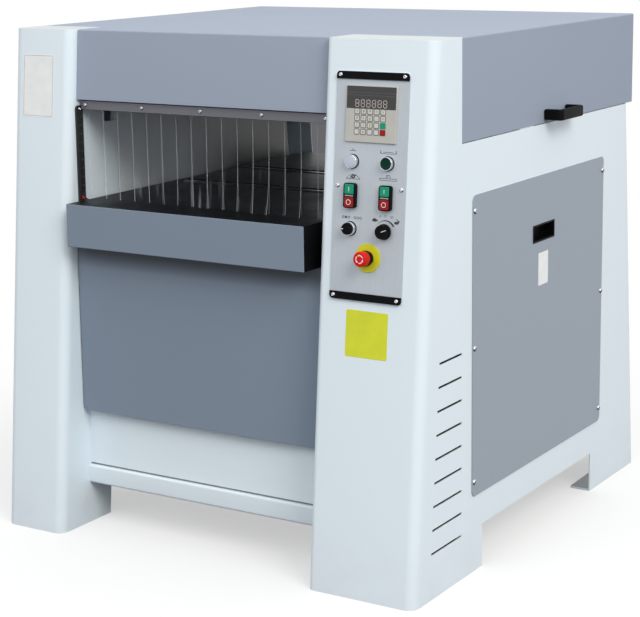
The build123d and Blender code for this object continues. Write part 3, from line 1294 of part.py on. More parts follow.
def hood_hinge_leaves():
    """Outer knuckles and leaves on the back of the hood."""
    half = HINGE_LENGTH / 2
    sixth = HINGE_LENGTH / 6
    leaf_y = (HOOD_REAR, HOOD_REAR + HINGE_LEAF)
    leaf = block((HINGE_X - half, HINGE_X + half), leaf_y, (HINGE_Z, HOOD_EDGE + HINGE_LEAF_HEIGHT))
    gap_z = (HINGE_Z - OVERCUT, HOOD_EDGE + HINGE_GAP)
    leaf -= block((HINGE_X - sixth, HINGE_X + sixth), leaf_y, gap_z)
    leaf += knuckle((HINGE_X - half, HINGE_X - sixth)) + knuckle((HINGE_X + sixth, HINGE_X + half))
    leaf -= rod(HINGE_PIN + PIN_FIT, (HINGE_X - HINGE_LENGTH, HINGE_X + HINGE_LENGTH), HINGE_Y, HINGE_Z)
    return group(leaf, mirror(leaf, about=Plane.YZ))


def frame_hinge_leaves():
    """Middle knuckles on brackets of the rear returns, with the hinge pins."""
    half = HINGE_LENGTH / 6 - HINGE_GAP
    top = HINGE_Z
    low = HINGE_Z - HINGE_LEAF_HEIGHT
    profile = outline(
        (rear_y(top), top),
        (rear_y(low), low),
        (rear_y(low) + HINGE_LEAF, low),
        (HINGE_Y, top - HINGE_RADIUS),
        (HINGE_Y, top),
    )
    x = (HINGE_X - half, HINGE_X + half)
    bracket = section_x(profile, x) + knuckle(x)
    bracket -= rod(HINGE_PIN, (HINGE_X - HINGE_LENGTH, HINGE_X + HINGE_LENGTH), HINGE_Y, HINGE_Z)
    pin = rod(HINGE_PIN, (HINGE_X - HINGE_LENGTH / 2, HINGE_X + HINGE_LENGTH / 2), HINGE_Y, HINGE_Z)
    parts = [bracket, pin]
    return group(*parts, *[mirror(part, about=Plane.YZ) for part in parts])


PARTS = {
    "left_side_panel": left_side_panel,
    "right_side_panel": right_side_panel,
    "front_cross_panel": front_cross_panel,
    "rear_panel": rear_panel,
    "base_plate": base_plate,
    "side_covers": side_covers,
    "door_grip_cup": door_grip_cup,
    "control_panel_plate": control_panel_plate,
    "counter_housing": counter_housing,
    "counter_window": counter_window,
    "panel_bezels": panel_bezels,
    "pilot_lens": pilot_lens,
    "start_button": start_button,
    "button_frames": button_frames,
    "on_button_left": lambda: switch_key(-1, 1),
    "off_button_left": lambda: switch_key(-1, -1),
    "on_button_right": lambda: switch_key(1, 1),
    "off_button_right": lambda: switch_key(1, -1),
    "selector_knob": selector_knob,
    "speed_knob": speed_knob,
    "stop_disc": stop_disc,
    "stop_mushroom": stop_mushroom,
    "thickness_scale": thickness_scale,
    "curtain_bars": curtain_bars,
    "curtain_strips": curtain_strips,
    "head_frame_left": head_frame_left,
    "head_frame_right": head_frame_right,
    "shaft_bearings": shaft_bearings,
    "cutterblock": cutterblock,
    "cutter_knives": cutter_knives,
    "knife_wedges": knife_wedges,
    "cutter_pulley": cutter_pulley,
    "main_motor": main_motor,
    "motor_pulley": motor_pulley,
    "drive_belt": drive_belt,
    "infeed_roller": infeed_roller,
    "outfeed_roller": outfeed_roller,
    "feed_sprocket": feed_sprocket,
    "gear_motors": lambda: group(feed_gearmotor(), lift_gearmotor()),
    "roller_chains": lambda: group(feed_chain(), lift_chain()),
    "chip_breaker": chip_breaker,
    "head_crossbars": head_crossbars,
    "kickback_fingers": kickback_fingers,
    "table_casting": table_casting,
    "bed_roller_front": lambda: bed_roller(-ROLLER_OFFSET),
    "bed_roller_rear": lambda: bed_roller(ROLLER_OFFSET),
    "table_apron": table_apron,
    "table_skirt": table_skirt,
    "scale_pointer": scale_pointer,
    "table_pillars": table_pillars,
    "pillar_guides": pillar_guides,
    "lift_screw_left": lambda: lift_screw(PILLAR_X[0]),
    "lift_screw_right": lambda: lift_screw(PILLAR_X[1]),
    "lift_sprocket": lift_sprocket,
    "hood_shell": hood_shell,
    "dust_outlet": dust_outlet,
    "chip_deflector": chip_deflector,
    "hood_handle": hood_handle,
    "hood_hinge_leaves": hood_hinge_leaves,
    "frame_hinge_leaves": frame_hinge_leaves,
}

os.makedirs("parts", exist_ok=True)
for name, make in PARTS.items():
    export_step(make(), f"parts/{name}.step")
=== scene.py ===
import json
import math
import random

import bmesh
import bpy
from mathutils import Matrix, Vector


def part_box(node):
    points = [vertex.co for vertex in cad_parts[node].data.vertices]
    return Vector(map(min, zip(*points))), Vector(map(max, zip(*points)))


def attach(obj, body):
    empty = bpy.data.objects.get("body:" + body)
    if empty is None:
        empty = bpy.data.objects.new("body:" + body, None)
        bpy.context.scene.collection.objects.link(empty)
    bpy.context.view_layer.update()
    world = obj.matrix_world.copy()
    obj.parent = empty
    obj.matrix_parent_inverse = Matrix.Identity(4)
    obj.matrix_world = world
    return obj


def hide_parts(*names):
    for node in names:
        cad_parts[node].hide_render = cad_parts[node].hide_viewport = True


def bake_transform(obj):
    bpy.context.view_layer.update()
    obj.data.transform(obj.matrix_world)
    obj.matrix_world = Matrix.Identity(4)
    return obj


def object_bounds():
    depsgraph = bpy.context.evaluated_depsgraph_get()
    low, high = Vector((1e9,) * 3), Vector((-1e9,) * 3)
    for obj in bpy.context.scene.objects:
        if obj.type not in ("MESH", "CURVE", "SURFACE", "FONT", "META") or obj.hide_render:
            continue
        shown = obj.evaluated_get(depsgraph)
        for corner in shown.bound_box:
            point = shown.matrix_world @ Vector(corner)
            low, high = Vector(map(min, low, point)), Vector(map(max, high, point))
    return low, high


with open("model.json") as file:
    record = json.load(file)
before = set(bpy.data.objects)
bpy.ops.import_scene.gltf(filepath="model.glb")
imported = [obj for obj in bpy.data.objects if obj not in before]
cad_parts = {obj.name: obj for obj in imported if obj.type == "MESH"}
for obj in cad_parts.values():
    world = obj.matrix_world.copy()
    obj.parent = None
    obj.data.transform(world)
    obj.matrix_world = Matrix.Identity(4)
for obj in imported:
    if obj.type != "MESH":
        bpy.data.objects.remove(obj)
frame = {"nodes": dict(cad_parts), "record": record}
cad_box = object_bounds()

NODES = frame["nodes"]
RECORD = frame["record"]
BODY_OF = {node: body for body, nodes in RECORD["behaviour"]["bodies"].items() for node in nodes}
SLOT_OF = {row["node"]: row["material_slot"] for row in RECORD["subparts"]}
X_AXIS = Vector((1, 0, 0))
Y_AXIS = Vector((0, 1, 0))
Z_AXIS = Vector((0, 0, 1))
chance = random.Random(11)

# Lengths in mesh code are millimetres; in shaders, lights and the camera they are metres
MM = 0.001
# Slope of the cabinet's front and back, thickness of its sheet, and half its depth at the floor
LEAN = 0.09
SHEET = 3.0
HALF_DEPTH = cad_box[1][1] / MM


# Shader trees
def seen(red, green, blue):
    """Colour as the eye reads it (0 to 255) turned into the linear value that the shader wants."""
    def linear(value):
        value /= 255
        return value / 12.92 if value <= 0.04045 else ((value + 0.055) / 1.055) ** 2.4
    return linear(red), linear(green), linear(blue), 1.0


class Signal:
    """Output of a shader node that goes into formulas like a number."""

    def __init__(self, wire, socket):
        self.wire = wire
        self.socket = socket

    def __add__(self, other):
        return self.wire.calc("ADD", self, other)

    def __sub__(self, other):
        return self.wire.calc("SUBTRACT", self, other)

    def __rsub__(self, other):
        return self.wire.calc("SUBTRACT", other, self)

    def __mul__(self, other):
        return self.wire.calc("MULTIPLY", self, other)

    def __truediv__(self, other):
        return self.wire.calc("DIVIDE", self, other)

    __radd__ = __add__
    __rmul__ = __mul__


class Outlets:
    """Outputs of a node as signals, by name or number."""

    def __init__(self, wire, sockets):
        self.wire = wire
        self.sockets = sockets

    def __getitem__(self, key):
        return Signal(self.wire, self.sockets[key])


class Wiring:
    """Adds nodes to one shader tree and joins them."""

    def __init__(self, tree):
        self.tree = tree

    def feed(self, socket, value):
        if isinstance(value, Signal):
            self.tree.links.new(value.socket, socket)
        else:
            socket.default_value = value

    def set(self, node, **sockets):
        """Feed the inputs of a node by name, with _ for a space."""
        for key, value in sockets.items():
            self.feed(node.inputs[key.replace("_", " ")], value)

    def add(self, kind, settings=None, numbered=None, **sockets):
        """New node; inputs that share a name go by number. Gives back the outputs."""
        made = self.tree.nodes.new("ShaderNode" + kind)
        for key, value in (settings or {}).items():
            setattr(made, key, value)
        for number, value in (numbered or {}).items():
            self.feed(made.inputs[number], value)
        self.set(made, **sockets)
        return Outlets(self, made.outputs)

    def calc(self, operation, first, second=0.0):
        return self.add("Math", {"operation": operation}, {0: first, 1: second})[0]

    def vector(self, operation, first, second=(0.0, 0.0, 0.0)):
        return self.add("VectorMath", {"operation": operation}, {0: first, 1: second})

    def blend(self, factor, first, second):
        return self.add("Mix", {"data_type": "RGBA"}, {0: factor, 6: first, 7: second})[2]

    def coords(self, kind="Object"):
        return self.add("TexCoord")[kind]

    def axis(self, letter, kind="Object"):
        return self.add("SeparateXYZ", Vector=self.coords(kind))[letter]

    def noise(self, scale, detail=2.0, place=None):
        return self.add("TexNoise", Vector=place or self.coords(), Scale=scale, Detail=detail)["Fac"]

    def ramp(self, value, low, high, **settings):
        return self.add("MapRange", settings, Value=value, From_Min=low, From_Max=high)["Result"]

    def toned(self, color, value):
        return self.add("HueSaturation", Color=color, Value=value)["Color"]


def shader_group(name, **inputs):
    """Turn a function that gives back its outputs by name into a shader group with these inputs."""
    def make(wiring):
        tree = bpy.data.node_groups.new(name, "ShaderNodeTree")

        def socket(label, way, kind):
            return tree.interface.new_socket(label, in_out=way, socket_type="NodeSocket" + kind)
        for label, value in inputs.items():
            kind = {3: "Vector", 4: "Color"}[len(value)] if isinstance(value, tuple) else "Float"
            socket(label.replace("_", " "), "INPUT", kind).default_value = value
        wire = Wiring(tree)
        outputs = wiring(wire, Outlets(wire, tree.nodes.new("NodeGroupInput").outputs))
        for label in outputs:
            socket(label, "OUTPUT", "Color" if label == "Color" else "Float")
        wire.set(tree.nodes.new("NodeGroupOutput"), **outputs)
        return tree
    return make


@shader_group("Powder coat", Color=(0.8, 0.8, 0.8, 1), Tone_Spread=0.05, Roughness=0.42)
def powder_coat(wire, given):
    """Sprayed and baked paint: slow drift of tone, orange peel, and a rougher patch here and there."""
    drift = wire.noise(2.6, 3.0) - 0.5
    peel = wire.noise(520.0)
    value = 1.0 + drift * given["Tone Spread"] + (peel - 0.5) * 0.03
    rough = given["Roughness"] + drift * 0.16
    return {"Color": wire.toned(given["Color"], value), "Roughness": rough, "Height": peel}


@shader_group("Floor dust", Color=(0.8, 0.8, 0.8, 1), Dust_Color=seen(176, 170, 160),
              Reach=0.16, Amount=0.35, Settled=0.0)
def floor_dust(wire, given):
    """Wood dust that thins out above the floor and lies on faces that look up, where it is also painted shade
    that darkens those faces.
    """
    cloud = wire.noise(14.0, 5.0)
    low = wire.calc("MAXIMUM", 1.0 - wire.axis("Z") / given["Reach"], 0.0)
    scuffs = low * wire.ramp(cloud, 0.35, 0.75) * given["Amount"]
    upward_dust_and_shade = wire.ramp(wire.axis("Z", "Normal"), 0.75, 0.98) * (0.8 + cloud * 0.4)
    mask = wire.calc("MAXIMUM", scuffs, upward_dust_and_shade * given["Settled"])
    return {"Color": wire.blend(mask, given["Color"], given["Dust Color"]), "Mask": mask}


@shader_group("Moulded grain", Color=(0.02, 0.02, 0.02, 1), Grain=900.0, Roughness=0.45)
def moulded_grain(wire, given):
    """Spark-eroded grain of a moulding with faint finger marks."""
    touch = wire.noise(34.0, 4.0)
    color = wire.toned(given["Color"], 0.9 + touch * 0.2)
    rough = given["Roughness"] + (touch - 0.5) * 0.3
    return {"Color": color, "Roughness": rough, "Height": wire.noise(given["Grain"], 3.0)}


@shader_group("Cut lines", Color=(0.6, 0.6, 0.6, 1), Stretch=(1.0, 60.0, 60.0), Roughness=0.3)
def cut_lines(wire, given):
    """Lines that a belt, a lathe or a planing tool leaves along one direction."""
    stretched = wire.vector("MULTIPLY", wire.coords(), given["Stretch"])["Vector"]
    lines = wire.noise(12.0, 5.0, stretched)
    marks = lines + wire.noise(7.0, 3.0)
    color = wire.toned(given["Color"], 0.84 + marks * 0.16)
    return {"Color": color, "Roughness": given["Roughness"] + (marks - 1.0) * 0.3, "Height": lines}


@shader_group("Edge rub", Radius=0.0015, Patch_Scale=40.0)
def edge_rub(wire, given):
    """Where a convex edge has been rubbed."""
    soft = wire.add("Bevel", {"samples": 4}, Radius=given["Radius"])["Normal"]
    true = wire.add("NewGeometry")["Normal"]
    bend = wire.ramp(wire.vector("DOT_PRODUCT", soft, true)["Value"], 0.995, 0.85)
    return {"Mask": bend * wire.ramp(wire.noise(given["Patch Scale"], 4.0), 0.4, 0.65)}


# Changes to a shade
def unchanged(wire, shade):
    return shade


def rubbed(tone):
    """Edges worn to another tone."""
    return lambda wire, shade: wire.blend(wire.group(edge_rub)["Mask"], shade, seen(*tone))


def shade_below(tone):
    """Painted shade: another tone on faces that look down."""
    def change(wire, shade):
        return wire.blend(wire.ramp(wire.axis("Z", "Normal"), 0.15, -0.25), shade, seen(*tone))
    return change


def bare_beyond(start, tone):
    """Another tone beyond a place along X."""
    def change(wire, shade):
        return wire.blend(wire.ramp(wire.axis("X"), start - 0.0004, start), shade, seen(*tone))
    return change


def shadow_under_edge(edge, tone):
    """Painted shadow: a darker tone on a face under an edge at this height, fading out further down."""
    lip, full, reach, share = 0.002, 0.02, 0.057, 0.67

    def change(wire, shade):
        height = wire.axis("Z")
        under = wire.ramp(height, edge - reach, edge - full) * wire.ramp(height, edge + lip, edge)
        return wire.blend(under * share, shade, seen(*tone))
    return change


# Finishes, with colours as the eye reads them
class Finish(Wiring):
    """Shader tree of one material with its surface shader."""

    def __init__(self, name):
        self.material = bpy.data.materials.new(name)
        self.material.use_nodes = True
        super().__init__(self.material.node_tree)
        self.surface = self.tree.nodes["Principled BSDF"]

    def group(self, tree, **sockets):
        return self.add("Group", {"node_tree": tree}, **sockets)

    def lay(self, skin, depth, shade, **sockets):
        """Feed the surface shader from a skin, with relief of a depth in millimetres."""
        bump = self.add("Bump", Height=skin["Height"], Strength=1.0, Distance=depth * MM)
        from_skin = {"Base_Color": shade, "Roughness": skin["Roughness"], "Normal": bump["Normal"]}
        self.set(self.surface, **{**from_skin, **sockets})
        return self.material


PEEL_DEPTH = 0.035


def coated(name, color, roughness, spread, metallic=0.0, dust=0.12, sheen=0.5, upward_dust_and_shade_amount=0.0, change=unchanged):
    """Powder-coated sheet with dust on it; the dust on faces that look up is also painted shade."""
    wire = Finish(name)
    coat = wire.group(powder_coat, Color=seen(*color), Tone_Spread=spread, Roughness=roughness)
    dusty = wire.group(floor_dust, Color=coat["Color"], Amount=dust, Settled=upward_dust_and_shade_amount)
    rough = coat["Roughness"] + dusty["Mask"]
    return wire.lay(coat, PEEL_DEPTH, change(wire, dusty["Color"]),
                    Roughness=rough, Metallic=metallic, Specular_IOR_Level=sheen)


def moulded(name, color, roughness, grain=900.0, depth=0.03, change=unchanged, gloss=0.0, sheen=0.5):
    """Plastic moulding."""
    wire = Finish(name)
    skin = wire.group(moulded_grain, Color=seen(*color), Grain=grain, Roughness=roughness)
    return wire.lay(skin, depth, change(wire, skin["Color"]), Coat_Weight=gloss, Specular_IOR_Level=sheen)


def button(name, color, sheen, roughness=0.34):
    """Finely grained plastic of a push button."""
    return moulded(name, color, roughness, depth=0.015, sheen=sheen)


def ink(name, color):
    """Printing ink."""
    return moulded(name, color, 0.5, 1200.0, 0.004)


def film(name, color, roughness=0.34):
    """Film of a plate or a membrane key."""
    return moulded(name, color, roughness, 1200.0, 0.006)


def cut_metal(name, color, roughness, stretch=(1.0, 60.0, 60.0), depth=0.01, change=unchanged, metallic=1.0):
    """Bare metal with tool lines."""
    wire = Finish(name)
    lines = wire.group(cut_lines, Color=seen(*color), Stretch=stretch, Roughness=roughness)
    return wire.lay(lines, depth, change(wire, lines["Color"]), Metallic=metallic)


def planed_casting(name, paint, metal):
    """Casting that is painted dark all over and planed bright on its top."""
    wire = Finish(name)
    lines = wire.group(cut_lines, Color=seen(*metal), Stretch=(60.0, 1.0, 60.0), Roughness=0.46)
    coat = wire.group(powder_coat, Color=seen(*paint), Tone_Spread=0.2, Roughness=0.5)
    top = wire.ramp(wire.axis("Z", "Normal"), 0.7, 0.8)
    rough = coat["Roughness"] + (lines["Roughness"] - coat["Roughness"]) * top
    return wire.lay(lines, 0.01, wire.blend(top, coat["Color"], lines["Color"]),
                    Roughness=rough, Metallic=top, Specular_IOR_Level=0.1)


def frame_paint(name, pale, inner_shade_tone):
    """Primed plate with pale outer faces, and painted shade on its inner faces around the cutter head: darker
    towards the back and higher up.
    """
    wire = Finish(name)
    coat = wire.group(powder_coat, Color=seen(*pale), Tone_Spread=0.08, Roughness=0.5)
    inner_face = wire.ramp(wire.axis("X") * wire.axis("X", "Normal"), -0.1, -0.25)
    inward = wire.axis("Y") + wire.noise(9.0, 4.0) * 0.08
    above = wire.ramp(wire.axis("Z"), 0.55, 0.75)
    # Painted shade on the inner faces, darker towards the back and higher up
    dark = wire.ramp(inward, -0.05, 0.21) * (above * inner_face)
    return wire.lay(coat, PEEL_DEPTH, wire.blend(dark, coat["Color"], seen(*inner_shade_tone)),
                    Roughness=coat["Roughness"] - dark * 0.15)


def clear_sheet(name):
    """Clear soft strip shown by painted light: painted highlights on its cut edges, stronger near the table,
    painted glints in streaks near the table, and a faint painted sheen on its faces.
    """
    wire = Finish(name)
    cloud = wire.noise(26.0, 4.0)
    near_table = wire.ramp(wire.axis("Z"), 1.0, 0.8)
    cut = wire.ramp(wire.calc("ABSOLUTE", wire.axis("X", "Normal")), 0.35, 0.85)
    # Painted highlight on the cut edges, brighter near the table
    edge = cut * (0.15 + (near_table + cloud) * 0.5)
    drawn_down = wire.vector("MULTIPLY", wire.coords(), (1.0, 1.0, 0.1))["Vector"]
    # Painted glints in streaks near the table
    painted_glint = wire.ramp(wire.noise(58.0, 2.0, drawn_down), 0.6, 0.72)
    # Faint painted sheen on the faces, with the glints added
    painted_sheen_and_glint = painted_glint * (wire.calc("POWER", near_table, 4.0) * 0.11) + (0.001 + cloud * 0.008)
    wire.set(wire.surface, Base_Color=wire.blend(cloud, seen(206, 214, 222), seen(232, 238, 244)),
             Alpha=wire.calc("MAXIMUM", painted_sheen_and_glint, edge), Roughness=0.06 + cloud * 0.1, Specular_IOR_Level=0.2)
    return wire.material


def lit_digit(name, color):
    """Segments of the counter, faintly lit."""
    wire = Finish(name)
    shade = wire.blend(wire.noise(300.0) * 0.3, seen(*color), (1, 1, 1, 1))
    wire.set(wire.surface, Base_Color=shade, Emission_Color=shade, Emission_Strength=0.08, Roughness=0.5)
    return wire.material


# Painted shadow of the table apron on the skirt under it
APRON_PAINTED_SHADOW = shadow_under_edge(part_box("table_apron")[0].z, (26, 22, 8))
POINTER_STEM = bare_beyond(-0.3765, (30, 31, 33))
SLOT_FINISH = {
    # Dust and painted shade on the tops of the white cabinet
    "cabinet_white": coated("cabinet_white_paint", (230, 242, 250), 0.44, 0.03, sheen=0.35, upward_dust_and_shade_amount=0.5),
    "hood_grey": coated("hood_grey_paint", (157, 167, 184), 0.5, 0.05, sheen=0.05),
    "skirt_grey": coated("skirt_grey_paint", (129, 142, 159), 0.44, 0.05, sheen=0.25, change=APRON_PAINTED_SHADOW),
    "motor_grey": coated("motor_casting_paint", (88, 97, 105), 0.48, 0.15, dust=0.2),
    # Head frames with painted shade inside round the cutter head
    "frame_iron": frame_paint("frame_iron_paint", (232, 240, 246), (36, 37, 40)),
    "table_iron": planed_casting("table_cast_iron", (9, 9, 11), (34, 37, 42)),
    "panel_silver": cut_metal(
        "panel_anodised_sheet", (187, 195, 203), 0.46, (60.0, 1.0, 1.0), 0.004, metallic=0.1),
    "bezel_chrome": cut_metal("bezel_chrome", (214, 216, 220), 0.14, (20.0, 20.0, 1.0), 0.002),
    "clamp_aluminium": cut_metal("clamp_aluminium", (109, 110, 117), 0.42, metallic=0.4),
    "bare_steel": cut_metal("ground_steel", (176, 178, 180), 0.26, (60.0, 60.0, 1.0)),
    "bearing_steel": cut_metal("bearing_housing", (128, 131, 134), 0.4, (40.0, 40.0, 40.0), 0.03),
    "chain_steel": cut_metal(
        "chain_oiled_steel", (112, 108, 102), 0.3, (30.0, 30.0, 30.0), 0.02, rubbed((170, 168, 164))),
    "black_plastic": moulded("black_plastic", (12, 12, 14), 0.46, change=rubbed((40, 41, 43)), sheen=0.06),
    "counter_grey": moulded("counter_plastic", (188, 187, 181), 0.45),
    "window_dark": moulded("counter_window_plastic", (24, 22, 26), 0.12, 300.0, 0.002, gloss=0.5),
    "lamp_white": moulded("lamp_lens_plastic", (189, 200, 215), 0.22, 500.0, 0.01, gloss=0.1),
    "stop_yellow": moulded("stop_yellow_plate", (214, 210, 34), 0.42, 700.0, 0.01, sheen=0.3),
    "scale_black": moulded("scale_black_anodised", (30, 31, 33), 0.38, 700.0, 0.01),
    "belt_rubber": moulded("belt_rubber", (34, 33, 32), 0.75, 1500.0, 0.05),
    "button_green": button("button_green_plastic", (20, 146, 114), 0.25),
    "button_red": button("button_red_plastic", (150, 26, 26), 0.2),
    "strip_clear": clear_sheet("strip_clear_vinyl"),
    "pointer_red": moulded("pointer_red_paint", (196, 28, 30), 0.38, 600.0, 0.01, POINTER_STEM),
}
COVER_GREY = coated("cover_grey_paint", (154, 164, 176), 0.44, 0.05, 0.1, sheen=0.25)
TURNED_STEEL = cut_metal("turned_steel", (170, 172, 175), 0.24, (120.0, 3.0, 3.0))
GUSSET_STEEL = cut_metal("foot_steel", (150, 153, 156), 0.4)
# Painted shade on the lower side of the screw heads
ZINC_SHADED_BELOW = shade_below((34, 36, 40))
SCREW_ZINC = cut_metal("screw_zinc", (222, 224, 228), 0.24, (30.0, 30.0, 30.0), 0.006, ZINC_SHADED_BELOW)
BAR_MILKY = moulded("bar_milky_plastic", (160, 164, 158), 0.34)
SEAM_BEAD = moulded("seam_bead_grey", (108, 114, 120), 0.6, 1200.0, 0.01)
START_GREEN = button("start_green_plastic", (5, 50, 40), 0.08)
STOP_RED = button("stop_red_plastic", (208, 28, 28), 0.15, 0.4)
WHITE_INK = ink("white_ink", (236, 238, 238))
DARK_INK = ink("dark_ink", (44, 46, 50))
KEY_BORDER = ink("key_border_ink", (84, 85, 86))
SCALE_INK = ink("scale_grey_ink", (116, 118, 120))
KEY_PALE = film("key_pale_film", (206, 205, 198), 0.36)
PLATE_PALE = film("plate_pale_film", (240, 242, 243))
PLATE_YELLOW = film("plate_yellow_film", (214, 220, 42))
DIGIT_LIT = lit_digit("counter_digit_light", (158, 144, 138))


# Meshes
def place_at(origin, right, up):
    """Matrix whose X is right, whose Y is up and whose Z comes out of the face."""
    right = right.normalized()
    out = right.cross(up).normalized()
    up = out.cross(right)
    turn = Matrix((right, up, out)).transposed().to_4x4()
    return Matrix.Translation(origin) @ turn


def loose_mesh(name, book):
    """Close a bmesh and give back its mesh."""
    bmesh.ops.recalc_face_normals(book, faces=book.faces)
    mesh = bpy.data.meshes.new(name)
    book.to_mesh(mesh)
    book.free()
    return mesh


def round_edges(piece, width):
    """Break the piece's sharp edges with a small radius, in millimetres."""
    bevel = piece.modifiers.new("broken edges", "BEVEL")
    bevel.width = width * MM
    bevel.segments = 2
    bevel.limit_method = "ANGLE"
    bevel.angle_limit = math.radians(38)
    bevel.harden_normals = True


hand_made = set()


def new_piece(name, book, slot, material=None, body="cabinet", edge=0.0, replaced=None):
    """Turn a bmesh into a piece that rides on a body; without a material it has its slot's finish."""
    mesh = loose_mesh(name, book)
    mesh.polygons.foreach_set("use_smooth", [True] * len(mesh.polygons))
    mesh.set_sharp_from_angle(angle=math.radians(32))
    mesh.materials.append(material or SLOT_FINISH[slot])
    piece = bpy.data.objects.new(name, mesh)
    bpy.context.scene.collection.objects.link(piece)
    if edge:
        round_edges(piece, edge)
    if body:
        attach(piece, body)
    if replaced:
        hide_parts(replaced)
        hand_made.add(replaced)
    return piece


def dress(node, edge, material):
    """Give a node whole faces instead of facets, broken edges and its finish."""
    book = bmesh.new()
    book.from_mesh(NODES[node].data)
    bmesh.ops.remove_doubles(book, verts=book.verts, dist=2e-6)
    bmesh.ops.dissolve_limit(book, angle_limit=math.radians(0.6), verts=book.verts, edges=book.edges)
    plain = bmesh.new()
    points = [plain.verts.new(vert.co) for vert in book.verts]
    book.verts.index_update()
    for face in book.faces:
        plain.faces.new([points[vert.index] for vert in face.verts])
    book.free()
    return new_piece(node + "_piece", plain, SLOT_OF[node], material, BODY_OF[node], edge, node)


def ease_journals(piece, axis, reach, gap):
    """Turn faceted journals down a little, so that they run free in their faceted bores."""
    for vert in piece.data.vertices:
        away = Vector((0, vert.co.y - axis.y, vert.co.z - axis.z))
        if away.length < reach * MM:
            vert.co -= away.normalized() * gap * MM


def add_copy(book, mesh, matrix):
    """Add a placed copy of a mesh to a bmesh."""
    start = len(book.verts)
    book.from_mesh(mesh)
    book.verts.ensure_lookup_table()
    bmesh.ops.transform(book, matrix=matrix, verts=book.verts[start:])


def polar(radius, angle, centre=(0, 0)):
    """Point at a radius and an angle in degrees."""
    turn = math.radians(angle)
    return centre[0] + radius * math.cos(turn), centre[1] + radius * math.sin(turn)


def arc(centre, radius, start, end, steps):
    """Points on an arc, angles in degrees."""
    return [polar(radius, start + (end - start) * step / steps, centre) for step in range(steps + 1)]


def ring_outline(radius, steps=32, centre=(0, 0)):
    return arc(centre, radius, 0, 360, steps)[:-1]


def rounded_outline(width, height, radii, steps=6):
    """Outline of a rounded rectangle; radii are one or four, from top right, counter-clockwise."""
    if not isinstance(radii, tuple):
        radii = (radii,) * 4
    points = []
    for index, (side, rise) in enumerate(((1, 1), (-1, 1), (-1, -1), (1, -1))):
        radius = radii[index]
        centre = (side * (width / 2 - radius), rise * (height / 2 - radius))
        points += arc(centre, radius, 90 * index, 90 * index + 90, steps)
    return points


def ring_at(book, outline, height, matrix):
    """Corners of an outline at a height over a place."""
    return [book.verts.new(matrix @ (Vector((u, v, height)) * MM)) for u, v in outline]


def skin(book, rings):
    """Faces from each ring of corners to the next; a ring of one corner is a tip."""
    for low, high in zip(rings, rings[1:]):
        steps = max(len(low), len(high))
        for step in range(steps):
            following = (step + 1) % steps
            corners = []
            for ring, order in ((low, (step, following)), (high, (following, step))):
                corners += ring if len(ring) == 1 else [ring[index] for index in order]
            if len(corners) > 2:
                book.faces.new(corners)


def lathe(book, profile, matrix, steps=48, ring=False):
    """Turn (radius, height) points about the Z axis of a place; a ring's profile is closed."""
    if ring:
        profile = profile + profile[:1]
    skin(book, [ring_at(book, ring_outline(radius, steps) if radius else [(0, 0)], height, matrix)
                for radius, height in profile])


def slab(book, points, low, high, matrix, inner=None):
    """Flat piece from an outline, with an optional hole of as many points."""
    bottom, top = ring_at(book, points, low, matrix), ring_at(book, points, high, matrix)
    if inner:
        inner_top, inner_bottom = ring_at(book, inner, high, matrix), ring_at(book, inner, low, matrix)
        skin(book, [bottom, top, inner_top, inner_bottom, bottom])
    else:
        skin(book, [bottom, top])
        book.faces.new(top)
        book.faces.new(bottom[::-1])


def bar(book, first, second, width, low, high, matrix):
    """Straight printed or moulded bar between two points of a face."""
    first, second = Vector(first), Vector(second)
    along = second - first
    across = Vector((-along.y, along.x)).normalized() * width / 2
    slab(book, [first - across, second - across, second + across, first + across], low, high, matrix)


def add_text(book, words, size, matrix):
    """Printed figures centred on a place."""
    curve = bpy.data.curves.new("figures", "FONT")
    curve.body = words
    curve.size = size * MM
    curve.align_x = "CENTER"
    curve.align_y = "CENTER"
    curve.extrude = INK * MM / 2
    curve.resolution_u = 3
    holder = bpy.data.objects.new("figures", curve)
    mesh = bpy.data.meshes.new_from_object(holder)
    add_copy(book, mesh, matrix @ Matrix.Translation((0, 0, INK * MM / 2)))
    bpy.data.objects.remove(holder)
    bpy.data.meshes.remove(mesh)
    bpy.data.curves.remove(curve)


# Places read from the frame
def middle(node):
    low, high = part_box(node)
    return (low + high) / 2


def box_mm(node):
    """Lowest and highest corner of a node, in millimetres."""
    return [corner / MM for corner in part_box(node)]


PANEL_SHEET = 2.5
PANEL_UP = Vector((0, LEAN, 1)).normalized()
PANEL_OUT = Vector((0, -1, LEAN)).normalized()
PANEL_FACE = middle("control_panel_plate") + PANEL_OUT * PANEL_SHEET / 2 * MM


def on_panel(u, v, lift=0.0):
    """Place on the face of the operator panel, in millimetres from its middle."""
    origin = PANEL_FACE + (X_AXIS * u + PANEL_UP * v + PANEL_OUT * lift) * MM
    return place_at(origin, X_AXIS, PANEL_UP)


def panel_spot(node):
    """Where a node's middle falls on the panel, in millimetres."""
    away = (middle(node) - PANEL_FACE) / MM
    return away.dot(X_AXIS), away.dot(PANEL_UP)


def facing(x, y, z, out):
    """Place in millimetres on a face that looks along out."""
    right = Z_AXIS.cross(out) if abs(out.z) < 0.9 else X_AXIS
    return place_at(Vector((x, y, z)) * MM, right, out.cross(right))


